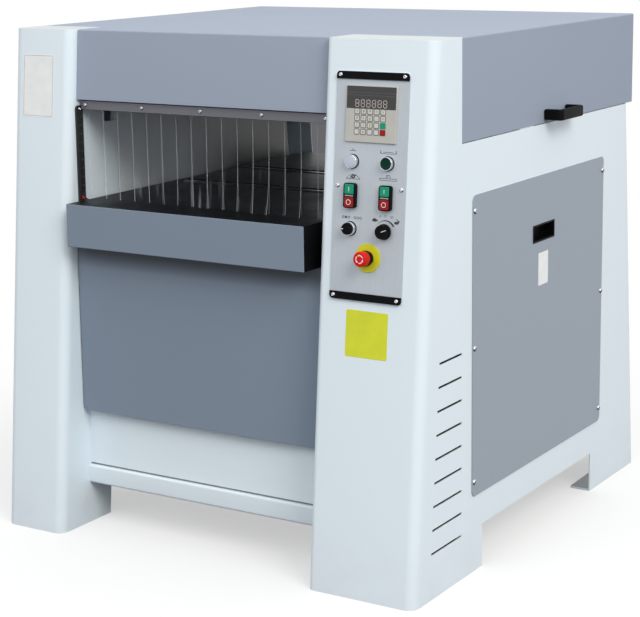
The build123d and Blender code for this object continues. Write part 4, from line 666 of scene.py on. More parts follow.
# Operator panel
LAMP = panel_spot("pilot_lens")
START = panel_spot("start_button")
SELECTOR = panel_spot("selector_knob")
SPEED = panel_spot("speed_knob")
STOP = panel_spot("stop_disc")
COUNTER = panel_spot("counter_housing")
WINDOW = panel_spot("counter_window")
KEYS = {node: panel_spot(node) for node in (
    "on_button_left", "off_button_left", "on_button_right", "off_button_right")}
COUNTER_FACE = 4.0
KEY_FACE = 12.0
FRAME_FACE = 10.0
SELECTOR_FACE = 19.0
DIAL_FACE = 17.2
STOP_FACE = 35.0
INK = 0.12
END_STRIP_V = 229
END_STRIP_FACE = 3.0


def build_panel_trim():
    """Black end strips of the panel."""
    width, height, outer, inner = 172, 16, 8, 1
    book = bmesh.new()
    for side, radii in ((1, (outer, outer, inner, inner)), (-1, (inner, inner, outer, outer))):
        slab(book, rounded_outline(width, height, radii), 0, END_STRIP_FACE, on_panel(0, side * END_STRIP_V))
    new_piece("panel_end_strips", book, "black_plastic", edge=0.8)


def build_counter_display():
    """Digits of the position counter and the lines on its window."""
    digits, pitch, drop = 6, 13.2, 12.0
    level = [((-3.1, v), (3.1, v)) for v in (7.2, 0.0, -7.2)]
    upright = [((u, way * 0.7), (u, way * 6.5)) for u in (-3.9, 3.9) for way in (-1, 1)]
    book = bmesh.new()
    for digit in range(digits):
        u = WINDOW[0] + pitch * (digit - (digits - 1) / 2)
        for first, second in level + upright:
            bar(book, first, second, 1.5, 0.0, INK, on_panel(u, WINDOW[1] - drop, COUNTER_FACE))
    new_piece("counter_digits", book, "counter_grey", DIGIT_LIT)
    book = bmesh.new()
    for height in (4.5, 10.0):
        bar(book, (-57, height), (57, height), 0.7, 0.0, 0.1, on_panel(*WINDOW, COUNTER_FACE))
    new_piece("counter_window_lines", book, "counter_grey", KEY_BORDER)


def build_counter_keys():
    """Membrane keys of the position counter, two of them coloured."""
    rows = ("789<>", "456-+", "123  ", " 0.  ")
    first_u, first_v, pitch_u, pitch_v = -32.3, 5.2, 15.4, 14.0
    border, pad, key_top = (13.2, 12.6), (10.2, 9.6), 0.6
    borders, pads, marks, green, red = (bmesh.new() for _ in range(5))
    colored = {(2, 4): green, (3, 4): red}
    for row, labels in enumerate(rows):
        for column, label in enumerate(labels):
            u, v = COUNTER[0] + first_u + pitch_u * column, COUNTER[1] + first_v - pitch_v * row
            matrix = on_panel(u, v, COUNTER_FACE)
            if (row, column) in colored:
                slab(colored[row, column], rounded_outline(*border, 1.4), 0.1, key_top, matrix)
            else:
                slab(borders, rounded_outline(*border, 2.6), 0.0, 0.25, matrix)
                slab(pads, rounded_outline(*pad, 1.4), 0.1, key_top, matrix)
            if label != " ":
                add_text(marks, label, 8.0, on_panel(u, v, COUNTER_FACE + key_top))
    new_piece("counter_key_borders", borders, "counter_grey", KEY_BORDER)
    new_piece("counter_keys", pads, "counter_grey", KEY_PALE, edge=0.2)
    new_piece("counter_key_figures", marks, "counter_grey", KEY_BORDER)
    new_piece("counter_green_key", green, "button_green", edge=0.2)
    new_piece("counter_red_key", red, "button_red", edge=0.2)


def build_bezels():
    """Chromed rings on their gaskets, the dial's bush and the collar of the stop button."""
    lip = arc((13.1, 9.7), 0.5, 180, 90, 4)
    wall = arc((13.2, 9.2), 1.0, 90, 0, 5) + [(14.2, 2.0), (13.8, 1.4)]
    mouth = [(9.6, 1.5), (12.6, 1.5)] + lip + wall + [(9.6, 1.4)]
    shut = [(9.5, 1.4), (9.5, 8.6), (10.0, 9.0), (12.6, 9.0)] + wall
    book = bmesh.new()
    for spot, profile in ((LAMP, mouth), (START, mouth), (SELECTOR, shut)):
        lathe(book, profile, on_panel(*spot), ring=True)
    new_piece("panel_rings", book, "bezel_chrome", replaced="panel_bezels")
    gasket = [(9.6, 0), (15.4, 0), (15.4, 1.0), (15.0, 1.4), (9.6, 1.4)]
    bush = [(9.5, 0), (13.0, 0), (13.0, 1.5), (12.5, 2.0), (9.5, 2.0)]
    collar = [(9.5, 2.0), (9.5, 12.0), (12.4, 12.0), (13.0, 11.4), (13.0, 2.8), (14.4, 2.5), (14.4, 2.0)]
    book = bmesh.new()
    for spot, profile in ((LAMP, gasket), (START, gasket), (SELECTOR, gasket), (SPEED, bush), (STOP, collar)):
        lathe(book, profile, on_panel(*spot), ring=True)
    new_piece("panel_gaskets", book, "black_plastic")


def build_lamp():
    """Domed lamp lens with rings pressed into it."""
    rings, first, pitch, width, rise = 5, 10.6, 2.1, 0.9, 0.13
    lens = [(0, 1.5), (12.3, 1.5), (12.3, 10.4), (11.9, 11.1), (11.0, 11.4)]
    for step in range(rings):
        radius, level = first - pitch * step, 11.35 + rise * step
        lens += [(radius, level), (radius - width, level + 0.25)]
    book = bmesh.new()
    lathe(book, lens + [(0, 12.0)], on_panel(*LAMP))
    new_piece("lamp_lens", book, "lamp_white", replaced="pilot_lens")


def build_start_button():
    """Start button with a shallow dish in its cap."""
    stem = [(0, -8.0), (9.2, -8.0), (9.2, 6.6)]
    cap = [(12.3, 6.6), (12.3, 11.0), (11.8, 11.8), (10.9, 12.0), (10.3, 11.6), (6.0, 11.2), (0, 11.1)]
    book = bmesh.new()
    lathe(book, stem + cap, on_panel(*START))
    new_piece("start_cap", book, "button_green", START_GREEN, "start_button", replaced="start_button")


def build_switches():
    """Marks on the push keys and the clear bar between them."""
    for node, spot in KEYS.items():
        book = bmesh.new()
        matrix = on_panel(*spot, KEY_FACE)
        if node.startswith("on"):
            bar(book, (0, -4.4), (0, 4.4), 1.3, 0.0, INK, matrix)
        else:
            slab(book, ring_outline(5.6), 0.0, INK, matrix, ring_outline(4.4))
        new_piece(node + "_mark", book, SLOT_OF[node], WHITE_INK, BODY_OF[node])
    book = bmesh.new()
    for side in ("left", "right"):
        upper, lower = KEYS["on_button_" + side], KEYS["off_button_" + side]
        matrix = on_panel(upper[0], (upper[1] + lower[1]) / 2, FRAME_FACE)
        slab(book, rounded_outline(20, 2.6, 1.0, 4), 0.0, 0.6, matrix)
    new_piece("switch_clear_bars", book, "lamp_white", BAR_MILKY, edge=0.3)


def build_selector():
    """Selector with its wing and mark."""
    base = on_panel(*SELECTOR)
    book = bmesh.new()
    lathe(book, [(0, 9.4), (12.4, 9.4), (12.4, 15.6), (11.5, 16.5), (0, 16.8)], base)
    slab(book, rounded_outline(24.6, 8, 3.6), 14.6, SELECTOR_FACE, base)
    new_piece("selector_grip", book, "black_plastic", None, "selector_knob", 0.9, "selector_knob")
    book = bmesh.new()
    bar(book, (-11.8, 0), (-6.0, 0), 1.8, SELECTOR_FACE, SELECTOR_FACE + INK, base)
    new_piece("selector_mark", book, "black_plastic", WHITE_INK, "selector_knob")


def build_speed_dial():
    """Speed dial with its lug, flutes and line."""
    steps, flutes, radius, flute_depth = 120, 20, 14.4, 0.7
    lug_angle, line_angle = 205, 22
    base = on_panel(*SPEED)
    book = bmesh.new()
    lathe(book, [(0, 2.3), (16.5, 2.3), (16.5, 5.4), (15.4, 6.3), (0, 6.6)], base)
    lug = base @ Matrix.Rotation(math.radians(lug_angle), 4, "Z") @ Matrix.Translation((16.4 * MM, 0, 0))
    slab(book, rounded_outline(8, 8, 1.5), 2.3, 6.2, lug)
    fluted = []
    for step in range(steps):
        hollow = max(0.0, math.cos(flutes * 2 * math.pi * step / steps)) ** 2
        fluted.append(polar(radius - flute_depth * hollow, 360 * step / steps))
    slab(book, fluted, 6.0, DIAL_FACE, base)
    new_piece("speed_dial", book, "black_plastic", None, "speed_knob", 0.7, "speed_knob")
    book = bmesh.new()
    bar(book, polar(1.0, line_angle), polar(13.2, line_angle), 1.2, DIAL_FACE, DIAL_FACE + INK, base)
    new_piece("speed_dial_mark", book, "black_plastic", WHITE_INK, "speed_knob")


def build_stop():
    """Mushroom of the emergency stop with its black skirt and its turning arrows."""
    steps, body = 64, "stop_mushroom"
    base = on_panel(*STOP)
    stem = [(0, -8.0), (9.2, -8.0), (9.2, 18.0), (13.6, 18.0), (13.6, 8.0), (15.2, 8.0), (15.8, 8.6)]
    crown = arc((12.4, 31.6), 3.6, 0, 82, 7)
    book = bmesh.new()
    lathe(book, stem + [(16.0, 9.6), (16.0, 31.4)] + crown + [(10.6, 35.4), (10.2, 35.0), (0, STOP_FACE)],
          base, steps)
    new_piece("stop_head", book, "button_red", STOP_RED, body, replaced=body)
    skirt = [(15.2, 8.2), (16.2, 8.2), (16.5, 8.5), (16.5, 17.4), (16.1, 18.0), (15.2, 18.0)]
    book = bmesh.new()
    lathe(book, skirt, base, steps, True)
    new_piece("stop_skirt", book, "black_plastic", None, body)
    book = bmesh.new()
    for start in (20, 140, 260):
        end, point = start + 78, start + 104
        shaft = arc((0, 0), 9.0, start, end, 12) + arc((0, 0), 7.2, end, start, 12)
        for outline in (shaft, [polar(10.0, end), polar(8.1, point), polar(6.0, end)]):
            slab(book, outline, STOP_FACE, STOP_FACE + INK, base)
    new_piece("stop_arrows", book, "button_red", WHITE_INK, body)


def build_panel_print():
    """Plain pictograms printed over the controls."""
    book = bmesh.new()

    def beside(spot, u, v):
        return on_panel(spot[0] + u, spot[1] + v)

    def line(matrix, *points, width=1.0):
        for first, second in zip(points, points[1:]):
            bar(book, first, second, width, 0.0, INK, matrix)

    def patch(matrix, points, inner=None):
        slab(book, points, 0.0, INK, matrix, inner)

    def eye(matrix, outer, inner, steps, centre):
        hole = ring_outline(inner, steps, centre) if inner else None
        patch(matrix, ring_outline(outer, steps, centre), hole)

    # Lamp: dot over a line; start button: board between two arrows
    matrix = beside(LAMP, 0, 22)
    line(matrix, (-8, 0), (8, 0))
    eye(matrix, 1.7, 1.0, 20, (0, 2.4))
    matrix = beside(START, 0, 23)
    line(matrix, (-16, -3), (16, -3))
    line(matrix, (-12, 0), (12, 0))
    for u in (-18, 18):
        line(matrix, (u, 4.5), (u, -1.0), width=1.1)
        patch(matrix, [(u - 1.9, -0.6), (u, -4.0), (u + 1.9, -0.6)])

    # Switches: cutterblock over the table; hood on its base
    matrix = beside(KEYS["on_button_left"], 2.5, 25.5)
    line(matrix, (-17, -4.5), (17, -4.5), (8, 3.5), (-8, 3.5), (-17, -4.5))
    eye(matrix, 4.6, 1.6, 24, (0, 1.0))
    line(matrix, (-7, -3), (-2, 2), width=2.0)
    line(matrix, (2, 0), (7, 4.4), width=2.0)
    matrix = beside(KEYS["on_button_right"], 1.5, 24.5)
    line(matrix, (-20, -2), (20, -2), (20, 2), (-20, 2), (-20, -2))
    line(matrix, (-4.5, 2), (-4.5, 8.5), (4.5, 8.5), (4.5, 2))
    line(matrix, (-4.5, 5), (0, 5), (0, 8.5))

    # Selector: row of rings, the second one filled
    matrix = beside(SELECTOR, 3, 23)
    for u, inner in ((-21, 1.7), (-14, 0.0), (-7, 1.7), (7, 1.7), (14, 1.7), (21, 1.7)):
        eye(matrix, 2.8, inner, 20, (u, 0))

    # Speed dial: swelling arc with figures, slow animal on the left, quick one on the right
    steps, radius = 32, 22.0
    outer = [polar(radius + 0.5 + 3.6 * step / steps, 135 - 105 * step / steps) for step in range(steps + 1)]
    patch(on_panel(*SPEED), outer + arc((0, 0), radius, 30, 135, steps))
    patch(beside(SPEED, -25, 21), arc((0, 0), 5.5, 0, 180, 12) + [(-3, -1.6), (3, -1.6)])
    patch(beside(SPEED, -19, 22), ring_outline(2.0, 14))
    patch(beside(SPEED, 27, 20), [(5.5 * u, 3.0 * v) for u, v in ring_outline(1.0, 20)])
    patch(beside(SPEED, 32, 23), ring_outline(2.2, 14))
    line(beside(SPEED, 31, 24), (0, 0), (-4.0, 4.0), width=1.5)
    for words, u, v in (("4", -12, 31), ("12", 0, 32.5), ("20", 15, 31)):
        add_text(book, words, 6.5, beside(SPEED, u, v))
    new_piece("panel_print", book, "panel_silver", DARK_INK)


# Screws
FLAT = Matrix.Identity(4)


def screw_mesh(radius, height, socket):
    """Button-head screw with a hexagon socket, standing on its own Z = 0."""
    steps, sink = 24, 0.6
    head = ((1.0, -sink), (1.0, height * 0.3), (0.93, height * 0.62), (0.76, height * 0.9), (0.6, height))
    hexagon = []
    for step in range(steps):
        angle = 360 * step / steps
        hexagon.append(polar(socket / math.cos(math.radians(angle % 60 - 30)), angle))
    book = bmesh.new()
    rings = [ring_at(book, ring_outline(radius * share, steps), level, FLAT) for share, level in head]
    rings += [ring_at(book, hexagon, level, FLAT) for level in (height, height * 0.3)]
    skin(book, rings)
    book.faces.new(rings[-1])
    book.faces.new(rings[0][::-1])
    return loose_mesh("screw", book)


def hex_bolt_mesh(flat, height, washer):
    """Hexagon bolt head on its washer."""
    steps, sink, washer_top, crown = 24, 0.5, 1.4, 0.5
    top = washer_top + height
    book = bmesh.new()
    rim = [(0, -sink), (washer, -sink), (washer, washer_top), (flat * 0.6, washer_top), (0, washer_top)]
    lathe(book, rim, FLAT, steps)
    slab(book, ring_outline(flat / 2 / math.cos(math.pi / 6), 6), washer_top - 0.1, top, FLAT)
    lathe(book, [(flat * 0.47, top - 0.2), (flat * 0.42, top + crown), (0, top + crown)], FLAT, steps)
    return loose_mesh("bolt", book)


def place_fasteners(name, mesh, places, slot, body="cabinet"):
    """Copies of a fastener, each turned by chance."""
    book = bmesh.new()
    for matrix in places:
        spin = Matrix.Rotation(chance.uniform(0, math.pi / 3), 4, "Z")
        add_copy(book, mesh, matrix @ spin)
    new_piece(name, book, slot, SCREW_ZINC, body, 0.15)
    bpy.data.meshes.remove(mesh)


def build_door_screws():
    """Screws of the door and of the left cover."""
    side_in, end_in = 8, 34
    low, high = box_mm("side_covers")
    levels = (low.z + end_in, (low.z + high.z) / 2, high.z - end_in)
    places = [facing(x, y, z, out) for x, out in ((high.x, X_AXIS), (low.x, -X_AXIS))
              for y in (low.y + side_in, high.y - side_in) for z in levels]
    place_fasteners("door_screws", screw_mesh(6.2, 3.4, 2.6), places, "hood_grey")


def build_panel_screws():
    """Screws of the operator panel, four of them on its end strips."""
    half_pitch = 76
    places = [on_panel(half_pitch * side, v, END_STRIP_FACE if v else 0.0)
              for side in (-1, 1) for v in (-END_STRIP_V, 0, END_STRIP_V)]
    place_fasteners("panel_screws", screw_mesh(4.5, 2.5, 2.0), places, "panel_silver")


def build_clamp_screws():
    """Screws of the bar that clamps the curtain."""
    pitch = 162.3
    low, high = box_mm("curtain_bars")
    places = [facing((low.x + high.x) / 2 + pitch * step, low.y, (low.z + high.z) / 2, -Y_AXIS)
              for step in range(-2, 3)]
    place_fasteners("clamp_screws", screw_mesh(4.5, 2.5, 2.0), places, "clamp_aluminium")


def build_scale_screws():
    """Screws at the ends of the thickness scale."""
    top_in, foot_in = 8, 10
    low, high = box_mm("thickness_scale")
    places = [facing(high.x, (low.y + high.y) / 2, z, X_AXIS) for z in (high.z - top_in, low.z + foot_in)]
    place_fasteners("scale_screws", screw_mesh(4.0, 2.0, 1.8), places, "scale_black")


def build_rear_screws():
    """Screws along the sides of the rear panel."""
    side_in, foot_in, pitch, top_in = 41, 60, 210, 120
    low, high = box_mm("rear_panel")
    levels = [low.z + foot_in + pitch * step for step in range(3)] + [high.z - top_in]
    places = [place_at(Vector((x, HALF_DEPTH - LEAN * z, z)) * MM, -X_AXIS, Vector((0, -LEAN, 1)))
              for x in (low.x + side_in, high.x - side_in) for z in levels]
    place_fasteners("rear_screws", screw_mesh(5.5, 3.0, 2.4), places, "cabinet_white")


def build_hinge_screws():
    """Screws of the hinge leaves on the hood."""
    leaf_in, half_pitch, drop, leaf_thick = 28, 16, 16, 4
    low, high = box_mm("hood_hinge_leaves")
    places = [facing(side * (high.x - leaf_in + step), low.y + leaf_thick, high.z - drop, Y_AXIS)
              for side in (-1, 1) for step in (-half_pitch, half_pitch)]
    place_fasteners("hinge_screws", screw_mesh(4.5, 2.4, 2.0), places, "bare_steel", "hood")


def build_bearing_bolts():
    """Bolts of the cutter's bearings, four round each."""
    circle = 57.0
    low, high = box_mm("shaft_bearings")
    axis = middle("cutterblock") / MM
    places = [facing(x, y, z, out) for x, out in ((low.x, -X_AXIS), (high.x, X_AXIS))
              for y, z in arc((axis.y, axis.z), circle, 45, 315, 3)]
    place_fasteners("bearing_bolts", hex_bolt_mesh(11.0, 5.0, 7.5), places, "bearing_steel")


# Curtain, scale, cabinet details and plates
STRIP_PITCH = 41.3
STRIP_LAP = 1.2
# How far the foot of each strip stands out along the feed, from the right
STRIP_KICKS = (0.0, -3.0, -13.0, -4.0, -16.0, -12.0, -3.0, 0.0, -5.0,
               1.5, -2.0, 0.0, 2.0, -1.5, 0.0, 1.0, 0.0)


def build_curtain():
    """Clear strips that hang from the clamp bar, each with its own slight bend."""
    low, high = box_mm("curtain_strips")
    held = box_mm("curtain_bars")[0].z
    rows = 14
    shares = (0.0, 0.012, 0.25, 0.5, 0.75, 0.988, 1.0)
    near_face, far_face = (0.0, 0.35), (0.8, 0.45)
    book = bmesh.new()
    for strip in range(math.ceil((high.x - low.x) / STRIP_PITCH)):
        right = high.x - strip * STRIP_PITCH
        left = max(right - STRIP_PITCH - STRIP_LAP, low.x)
        front = low.y + 0.15 + (strip % 2) * 0.95
        bow = chance.uniform(-1.0, 1.0)
        kick = STRIP_KICKS[strip % len(STRIP_KICKS)]
        cup = chance.uniform(0.4, 2.6)
        lean = chance.uniform(-1.2, 1.2)
        rings = []
        for row in range(rows + 1):
            z = high.z - row / rows * (high.z - low.z)
            free = max(0.0, (held - z) / (held - low.z))
            bend = front + kick * free ** 3 + bow * math.sin(math.pi * free) * free
            lines = []
            for middle_depth, rim_depth in (near_face, far_face):
                line = []
                for across in shares:
                    x = min(left + across * (right - left) + lean * free ** 2, high.x)
                    y = bend + (middle_depth if 0 < across < 1 else rim_depth)
                    y += cup * free * (4 * (across - 0.5) ** 2)
                    line.append(book.verts.new(Vector((x, y, z)) * MM))
                lines.append(line)
            rings.append(lines[0] + lines[1][::-1])
        skin(book, rings)
        for ring in (rings[0], rings[-1]):
            for column in range(len(shares) - 1):
                book.faces.new((ring[column], ring[column + 1], ring[-column - 2], ring[-column - 1]))
    curtain = new_piece("clear_curtain", book, "strip_clear", body=None, replaced="curtain_strips")
    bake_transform(curtain)


def build_scale_marks():
    """Millimetre lines and figures on the thickness scale."""
    pitch, figure_every, first_figure = 5, 4, 6
    low, high = box_mm("thickness_scale")
    top, foot = high.z - 26, low.z + 18
    book = bmesh.new()
    for step in range(int((top - foot) / pitch) + 1):
        z = top - pitch * step
        figured = step % figure_every == 0
        bar(book, (0, 0), (9.0 if figured else 5.0, 0), 0.5, 0.0, INK, facing(high.x, low.y + 1.5, z, X_AXIS))
        if figured:
            add_text(book, str(first_figure + pitch * step), 4.5, facing(high.x, low.y + 17.0, z, X_AXIS))
    new_piece("scale_figures", book, "scale_black", SCALE_INK)


def build_filter_shade_mat():
    """Dark mat in its rim behind the cooling slots: a filter mat, and also painted shade that makes the slots
    look black.
    """
    width, height, rim, mat_y, mat_z = 156, 430, 2, -452, 303
    inside = facing(box_mm("right_side_panel")[1].x - SHEET, mat_y, mat_z, X_AXIS)
    outline = rounded_outline(width, height, 6)
    book = bmesh.new()
    slab(book, outline, -14.0, -8.0, inside)
    slab(book, outline, -8.0, 0.0, inside, rounded_outline(width - 2 * rim, height - 2 * rim, 4))
    new_piece("slot_filter_shade_mat", book, "belt_rubber")


def build_gussets():
    """Bare gussets of the four feet."""
    foot_ys, half_thick = (-289.5, 309.5), 2.4
    outline = [(0, 5.8), (48.4, 5.8), (0, 47.4)]
    wall = box_mm("right_side_panel")[1].x - SHEET
    book = bmesh.new()
    for side in (-1, 1):
        for y in foot_ys:
            place = place_at(Vector((side * wall, y, 0)) * MM, X_AXIS * -side, Z_AXIS)
            slab(book, outline, -half_thick, half_thick, place)
    new_piece("foot_gussets", book, "bare_steel", GUSSET_STEEL, edge=0.4)


def build_seam():
    """Grey bead in the crease above the bottom bar, which draws a dark line there."""
    low, high = box_mm("front_cross_panel")
    crease = Vector((0, low.y + 10.5, low.z + 46.0)) * MM
    bead = [(0.4, -1.0), (0.4, 2.6), (-1.0, 2.4), (-2.4, 1.5), (-3.2, 0.0), (-3.2, -0.6), (-1.2, -1.0)]
    book = bmesh.new()
    slab(book, bead, low.x + 1, high.x - 1, place_at(crease, Y_AXIS, Z_AXIS))
    new_piece("bar_seam_bead", book, "belt_rubber", SEAM_BEAD)


def on_column(x, z):
    """Place on the leaning front of the cabinet, in millimetres."""
    return place_at(Vector((x, -HALF_DEPTH + LEAN * z, z)) * MM, X_AXIS, PANEL_UP)


def build_plates():
    """Blank plates on the left column, on the door and under the operator panel."""
    thick = 0.4
    column_plate, column_x, column_z = (92, 145), -481, 1044.5
    border_outside, border_inside = (86, 139), (85, 138)
    door_plate, door_y, door_z = (52, 76), 12, 622
    yellow_plate, yellow_x, yellow_z = (100.5, 99), 418.75, 565.5
    column = on_column(column_x, column_z)
    door = facing(box_mm("side_covers")[1].x, door_y, door_z, X_AXIS)
    book = bmesh.new()
    slab(book, rounded_outline(*column_plate, 4), 0.0, thick, column)
    slab(book, rounded_outline(*door_plate, 3), 0.0, thick, door)
    new_piece("blank_plates", book, "cabinet_white", PLATE_PALE, edge=0.2)
    book = bmesh.new()
    gap = rounded_outline(*border_inside, 2.5)
    slab(book, rounded_outline(*border_outside, 3), thick - 0.05, thick + 0.1, column, gap)
    new_piece("blank_plate_border", book, "cabinet_white", DARK_INK)
    book = bmesh.new()
    slab(book, rounded_outline(*yellow_plate, 4), 0.0, thick, on_column(yellow_x, yellow_z))
    new_piece("yellow_plate", book, "stop_yellow", PLATE_YELLOW, edge=0.2)


# Chains
CHAIN_PITCH = 12.7
CHAIN_STAND_OFF = 3.9
CHAIN_SIDE = 4.0
FEED_WHEEL = 45.0
HALF_PIN = [(0, 3.95), (1.5, 3.95), (1.5, 1.9), (2.7, 1.9)]
CHAIN_PIN = [(radius, -level) for radius, level in HALF_PIN] + HALF_PIN[::-1]


def loop_points(wheels, step):
    """Even points round a loop over wheels (x, y, radius) given counter-clockwise."""
    leaves = []
    for (ax, ay, ar), (bx, by, br) in zip(wheels, wheels[1:] + wheels[:1]):
        run = math.hypot(bx - ax, by - ay)
        leaves.append(math.degrees(math.atan2(by - ay, bx - ax) - math.acos((ar - br) / run)))
    dense = []
    for index, (x, y, radius) in enumerate(wheels):
        start, end = leaves[index - 1], leaves[index]
        while end < start:
            end += 360
        dense += arc((x, y), radius, start, end, 40)
    dense.append(dense[0])
    lengths = [math.dist(first, second) for first, second in zip(dense, dense[1:])]
    total = sum(lengths)
    links = 2 * round(total / step / 2)
    points, travelled, index = [], 0.0, 0
    for link in range(links):
        goal = total * link / links
        while travelled + lengths[index] < goal:
            travelled += lengths[index]
            index += 1
        part = (goal - travelled) / lengths[index]
        (ax, ay), (bx, by) = dense[index], dense[index + 1]
        points.append((ax + (bx - ax) * part, ay + (by - ay) * part))
    return points


def link_outline(length, waist, end):
    """Waisted side plate of a chain link."""
    right = arc((length / 2, 0), end, -70, 70, 6)
    left = arc((-length / 2, 0), end, 110, 250, 6)
    return right + [(0, waist)] + left + [(0, -waist)]


def add_chain(book, wheels, matrix):
    """Roller chain with waisted plates, pins and rollers."""
    points = loop_points(wheels, CHAIN_PITCH)
    for index, (x, y) in enumerate(points):
        next_x, next_y = points[(index + 1) % len(points)]
        centre = Vector(((x + next_x) / 2, (y + next_y) / 2, 0)) * MM
        turn = math.atan2(next_y - y, next_x - x)
        here = matrix @ Matrix.Translation(centre) @ Matrix.Rotation(turn, 4, "Z")
        shape = link_outline(math.hypot(next_x - x, next_y - y), 2.2, 3.2)
        inner, outer = (2.0, 2.8) if index % 2 else (2.9, 3.7)
        for low, high in ((-outer, -inner), (inner, outer)):
            slab(book, shape, low, high, here)
        lathe(book, CHAIN_PIN, matrix @ Matrix.Translation(Vector((x, y, 0)) * MM), 10)


def build_chains():
    """Feed chain in the left cabinet and lift chain under the base."""
    def half_width(node, axis):
        low, high = box_mm(node)
        return (high[axis] - low[axis]) / 2

    def wheel(node, radius, first, second):
        centre = middle(node) / MM
        return centre[first], centre[second], radius + CHAIN_STAND_OFF
    book = bmesh.new()
    feed = [wheel("feed_sprocket", half_width("feed_sprocket", 1), 1, 2),
            wheel("outfeed_roller", FEED_WHEEL, 1, 2), wheel("infeed_roller", FEED_WHEEL, 1, 2)]
    plane = box_mm("infeed_roller")[0].x + CHAIN_SIDE
    add_chain(book, feed, Matrix(((0, 0, 1, plane * MM), (1, 0, 0, 0), (0, 1, 0, 0), (0, 0, 0, 1))))
    screw = half_width("lift_screw_left", 0)
    lift = [wheel("lift_sprocket", half_width("lift_sprocket", 0), 0, 1),
            wheel("lift_screw_right", screw, 0, 1), wheel("lift_screw_left", screw, 0, 1)]
    level = box_mm("lift_sprocket")[0].z + CHAIN_SIDE
    add_chain(book, lift, Matrix.Translation((0, 0, level * MM)))
    new_piece("drive_chains", book, "chain_steel", replaced="roller_chains")


# Pieces
for build in (
        build_panel_trim, build_counter_display, build_counter_keys, build_bezels, build_lamp,
        build_start_button, build_switches, build_selector, build_speed_dial, build_stop, build_panel_print,
        build_door_screws, build_panel_screws, build_clamp_screws, build_scale_screws, build_rear_screws,
        build_hinge_screws, build_bearing_bolts, build_curtain, build_scale_marks, build_filter_shade_mat,
        build_gussets, build_seam, build_plates, build_chains):
    build()

PLAIN_EDGE = 0.6
EDGES = {
    "left_side_panel": 0.5, "right_side_panel": 0.5, "front_cross_panel": 0.8, "hood_shell": 1.4,
    "side_covers": 0.9, "table_apron": 0.9, "table_skirt": 1.2, "table_casting": 1.2, "hood_handle": 4.0,
    "counter_window": 0.2, "counter_housing": 0.6, "control_panel_plate": 0.5, "button_frames": 0.9,
    "cutter_knives": 0.15, "infeed_roller": 0.2, "kickback_fingers": 0.4, "scale_pointer": 0.4,
    "drive_belt": 0.3,
}
ROUND_BARS = ("infeed_roller", "outfeed_roller", "cutterblock", "bed_roller_front", "bed_roller_rear")
MATERIAL_OF = {"side_covers": COVER_GREY, **{node: TURNED_STEEL for node in ROUND_BARS}}
JOURNAL_REACH = 30.0
JOURNAL_GAP = 0.08
for node in NODES:
    if node not in hand_made:
        dressed = dress(node, EDGES.get(node, PLAIN_EDGE), MATERIAL_OF.get(node))
        if node == "cutterblock":
            ease_journals(dressed, middle(node), JOURNAL_REACH, JOURNAL_GAP)


# Studio
WHITE = (1.0, 1.0, 1.0, 1.0)
SHADE = (0.12, 0.12, 0.13, 1)


def shows_background(wire, path):
    """Rays that see the white background: mirrored ones, and the camera's unless through a clear strip."""
    open_view = 1.0 - wire.calc("MINIMUM", path["Transparent Depth"], 1.0)
    mirrored = wire.calc("MAXIMUM", path["Is Glossy Ray"], path["Is Transmission Ray"])
    return wire.calc("MAXIMUM", path["Is Camera Ray"] * open_view, mirrored)


def build_floor():
    """Pale floor that runs out of sight and turns white away from the shadow."""
    size, corner, thick = 60000, 3000, 20.0
    shadow_reach, white_from, least_white = 0.7, 1.9, 0.5
    book = bmesh.new()
    slab(book, rounded_outline(size, size, corner), -thick, 0.0, FLAT)
    mesh = loose_mesh("studio_floor", book)
    floor = bpy.data.objects.new("studio_floor", mesh)
    wire = Finish("studio_floor_paint")
    path = wire.add("LightPath")
    pale = wire.blend(wire.noise(0.6), (0.9, 0.9, 0.9, 1), (0.93, 0.93, 0.93, 1))
    # Painted shade: seen through the clear strips the floor is dark grey
    looked_at = wire.blend(wire.calc("MINIMUM", path["Transparent Depth"], 1.0), pale, SHADE)
    wire.set(wire.surface, Base_Color=wire.blend(path["Is Diffuse Ray"], looked_at, SHADE),
             Roughness=0.9, Specular_IOR_Level=0.1)
    distance = wire.vector("LENGTH", wire.coords())["Value"]
    away = wire.ramp(distance, shadow_reach, white_from, interpolation_type="SMOOTHSTEP")
    shown = (least_white + away * (1 - least_white)) * shows_background(wire, path)
    white = wire.add("Emission", Color=WHITE, Strength=1.0)
    paint = Outlets(wire, wire.surface.outputs)
    both = wire.add("MixShader", None, {1: paint["BSDF"], 2: white["Emission"]}, Fac=shown)
    wire.set(wire.tree.nodes["Material Output"], Surface=both["Shader"])
    mesh.materials.append(wire.material)
    bpy.context.scene.collection.objects.link(floor)


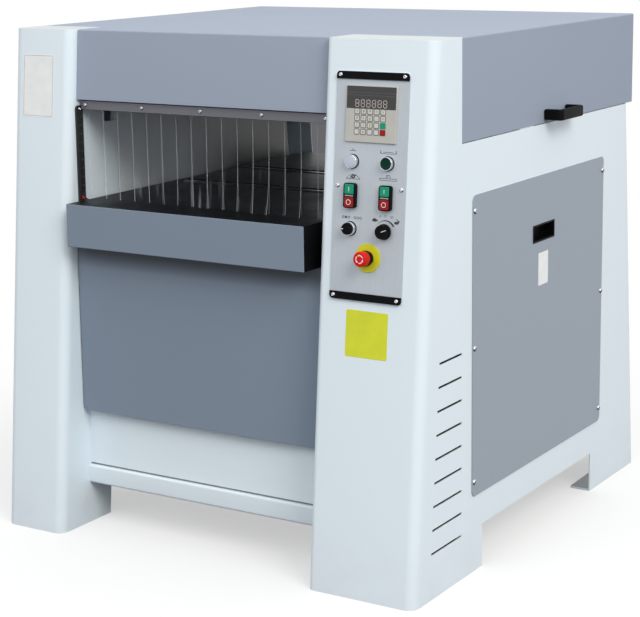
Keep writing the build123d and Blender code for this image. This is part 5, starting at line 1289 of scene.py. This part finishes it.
def area_light(name, origin, target, size, power, tint=(1.0, 1.0, 1.0)):
    """Round soft box that looks at a target."""
    lamp = bpy.data.lights.new(name, "AREA")
    lamp.shape = "DISK"
    lamp.size = size
    lamp.energy = power
    lamp.color = tint
    holder = bpy.data.objects.new(name, lamp)
    holder.location = origin
    holder.rotation_euler = (Vector(target) - Vector(origin)).to_track_quat("-Z", "Y").to_euler()
    bpy.context.scene.collection.objects.link(holder)


def light_studio():
    """White surround, brighter at the back on the right, and three soft boxes."""
    dim, bright, bright_side = 0.58, 0.94, Vector((0.62, 0.45, 0.64)).normalized()
    world = bpy.data.worlds.new("studio")
    world.use_nodes = True
    bpy.context.scene.world = world
    wire = Wiring(world.node_tree)
    toward = wire.vector("DOT_PRODUCT", wire.coords("Generated"), bright_side)["Value"]
    soft = dim + wire.ramp(toward, -0.75, 0.75) * (bright - dim)
    strength = wire.calc("MAXIMUM", soft, shows_background(wire, wire.add("LightPath")))
    wire.set(world.node_tree.nodes["Background"], Color=WHITE, Strength=strength)
    area_light("right_softbox", (5.4, -3.3, 5.0), (0.2, -0.2, 0.8), 3.7, 258, (1.0, 0.985, 0.93))
    area_light("front_softbox", (-0.7, -6.4, 5.4), (-0.2, -0.3, 0.7), 4.2, 102)
    area_light("top_softbox", (0.3, -0.4, 5.0), (0.0, 0.0, 0.8), 3.0, 4)


def set_camera():
    """Camera where the photograph was taken."""
    place = (2.2364, -3.6308, 1.4239)
    turns = ((32.049, "Z"), (90 - 11.049, "X"), (-0.7565, "Z"))
    lens = bpy.data.cameras.new("photo_camera")
    lens.sensor_width = 36.0
    lens.lens = 99.45
    lens.shift_y = -0.0758
    holder = bpy.data.objects.new("photo_camera", lens)
    holder.matrix_world = Matrix.Translation(place)
    for angle, axis in turns:
        holder.matrix_world @= Matrix.Rotation(math.radians(angle), 4, axis)
    bpy.context.scene.collection.objects.link(holder)
    bpy.context.scene.camera = holder


build_floor()
light_studio()
set_camera()
bpy.context.scene.view_settings.view_transform = "Standard"
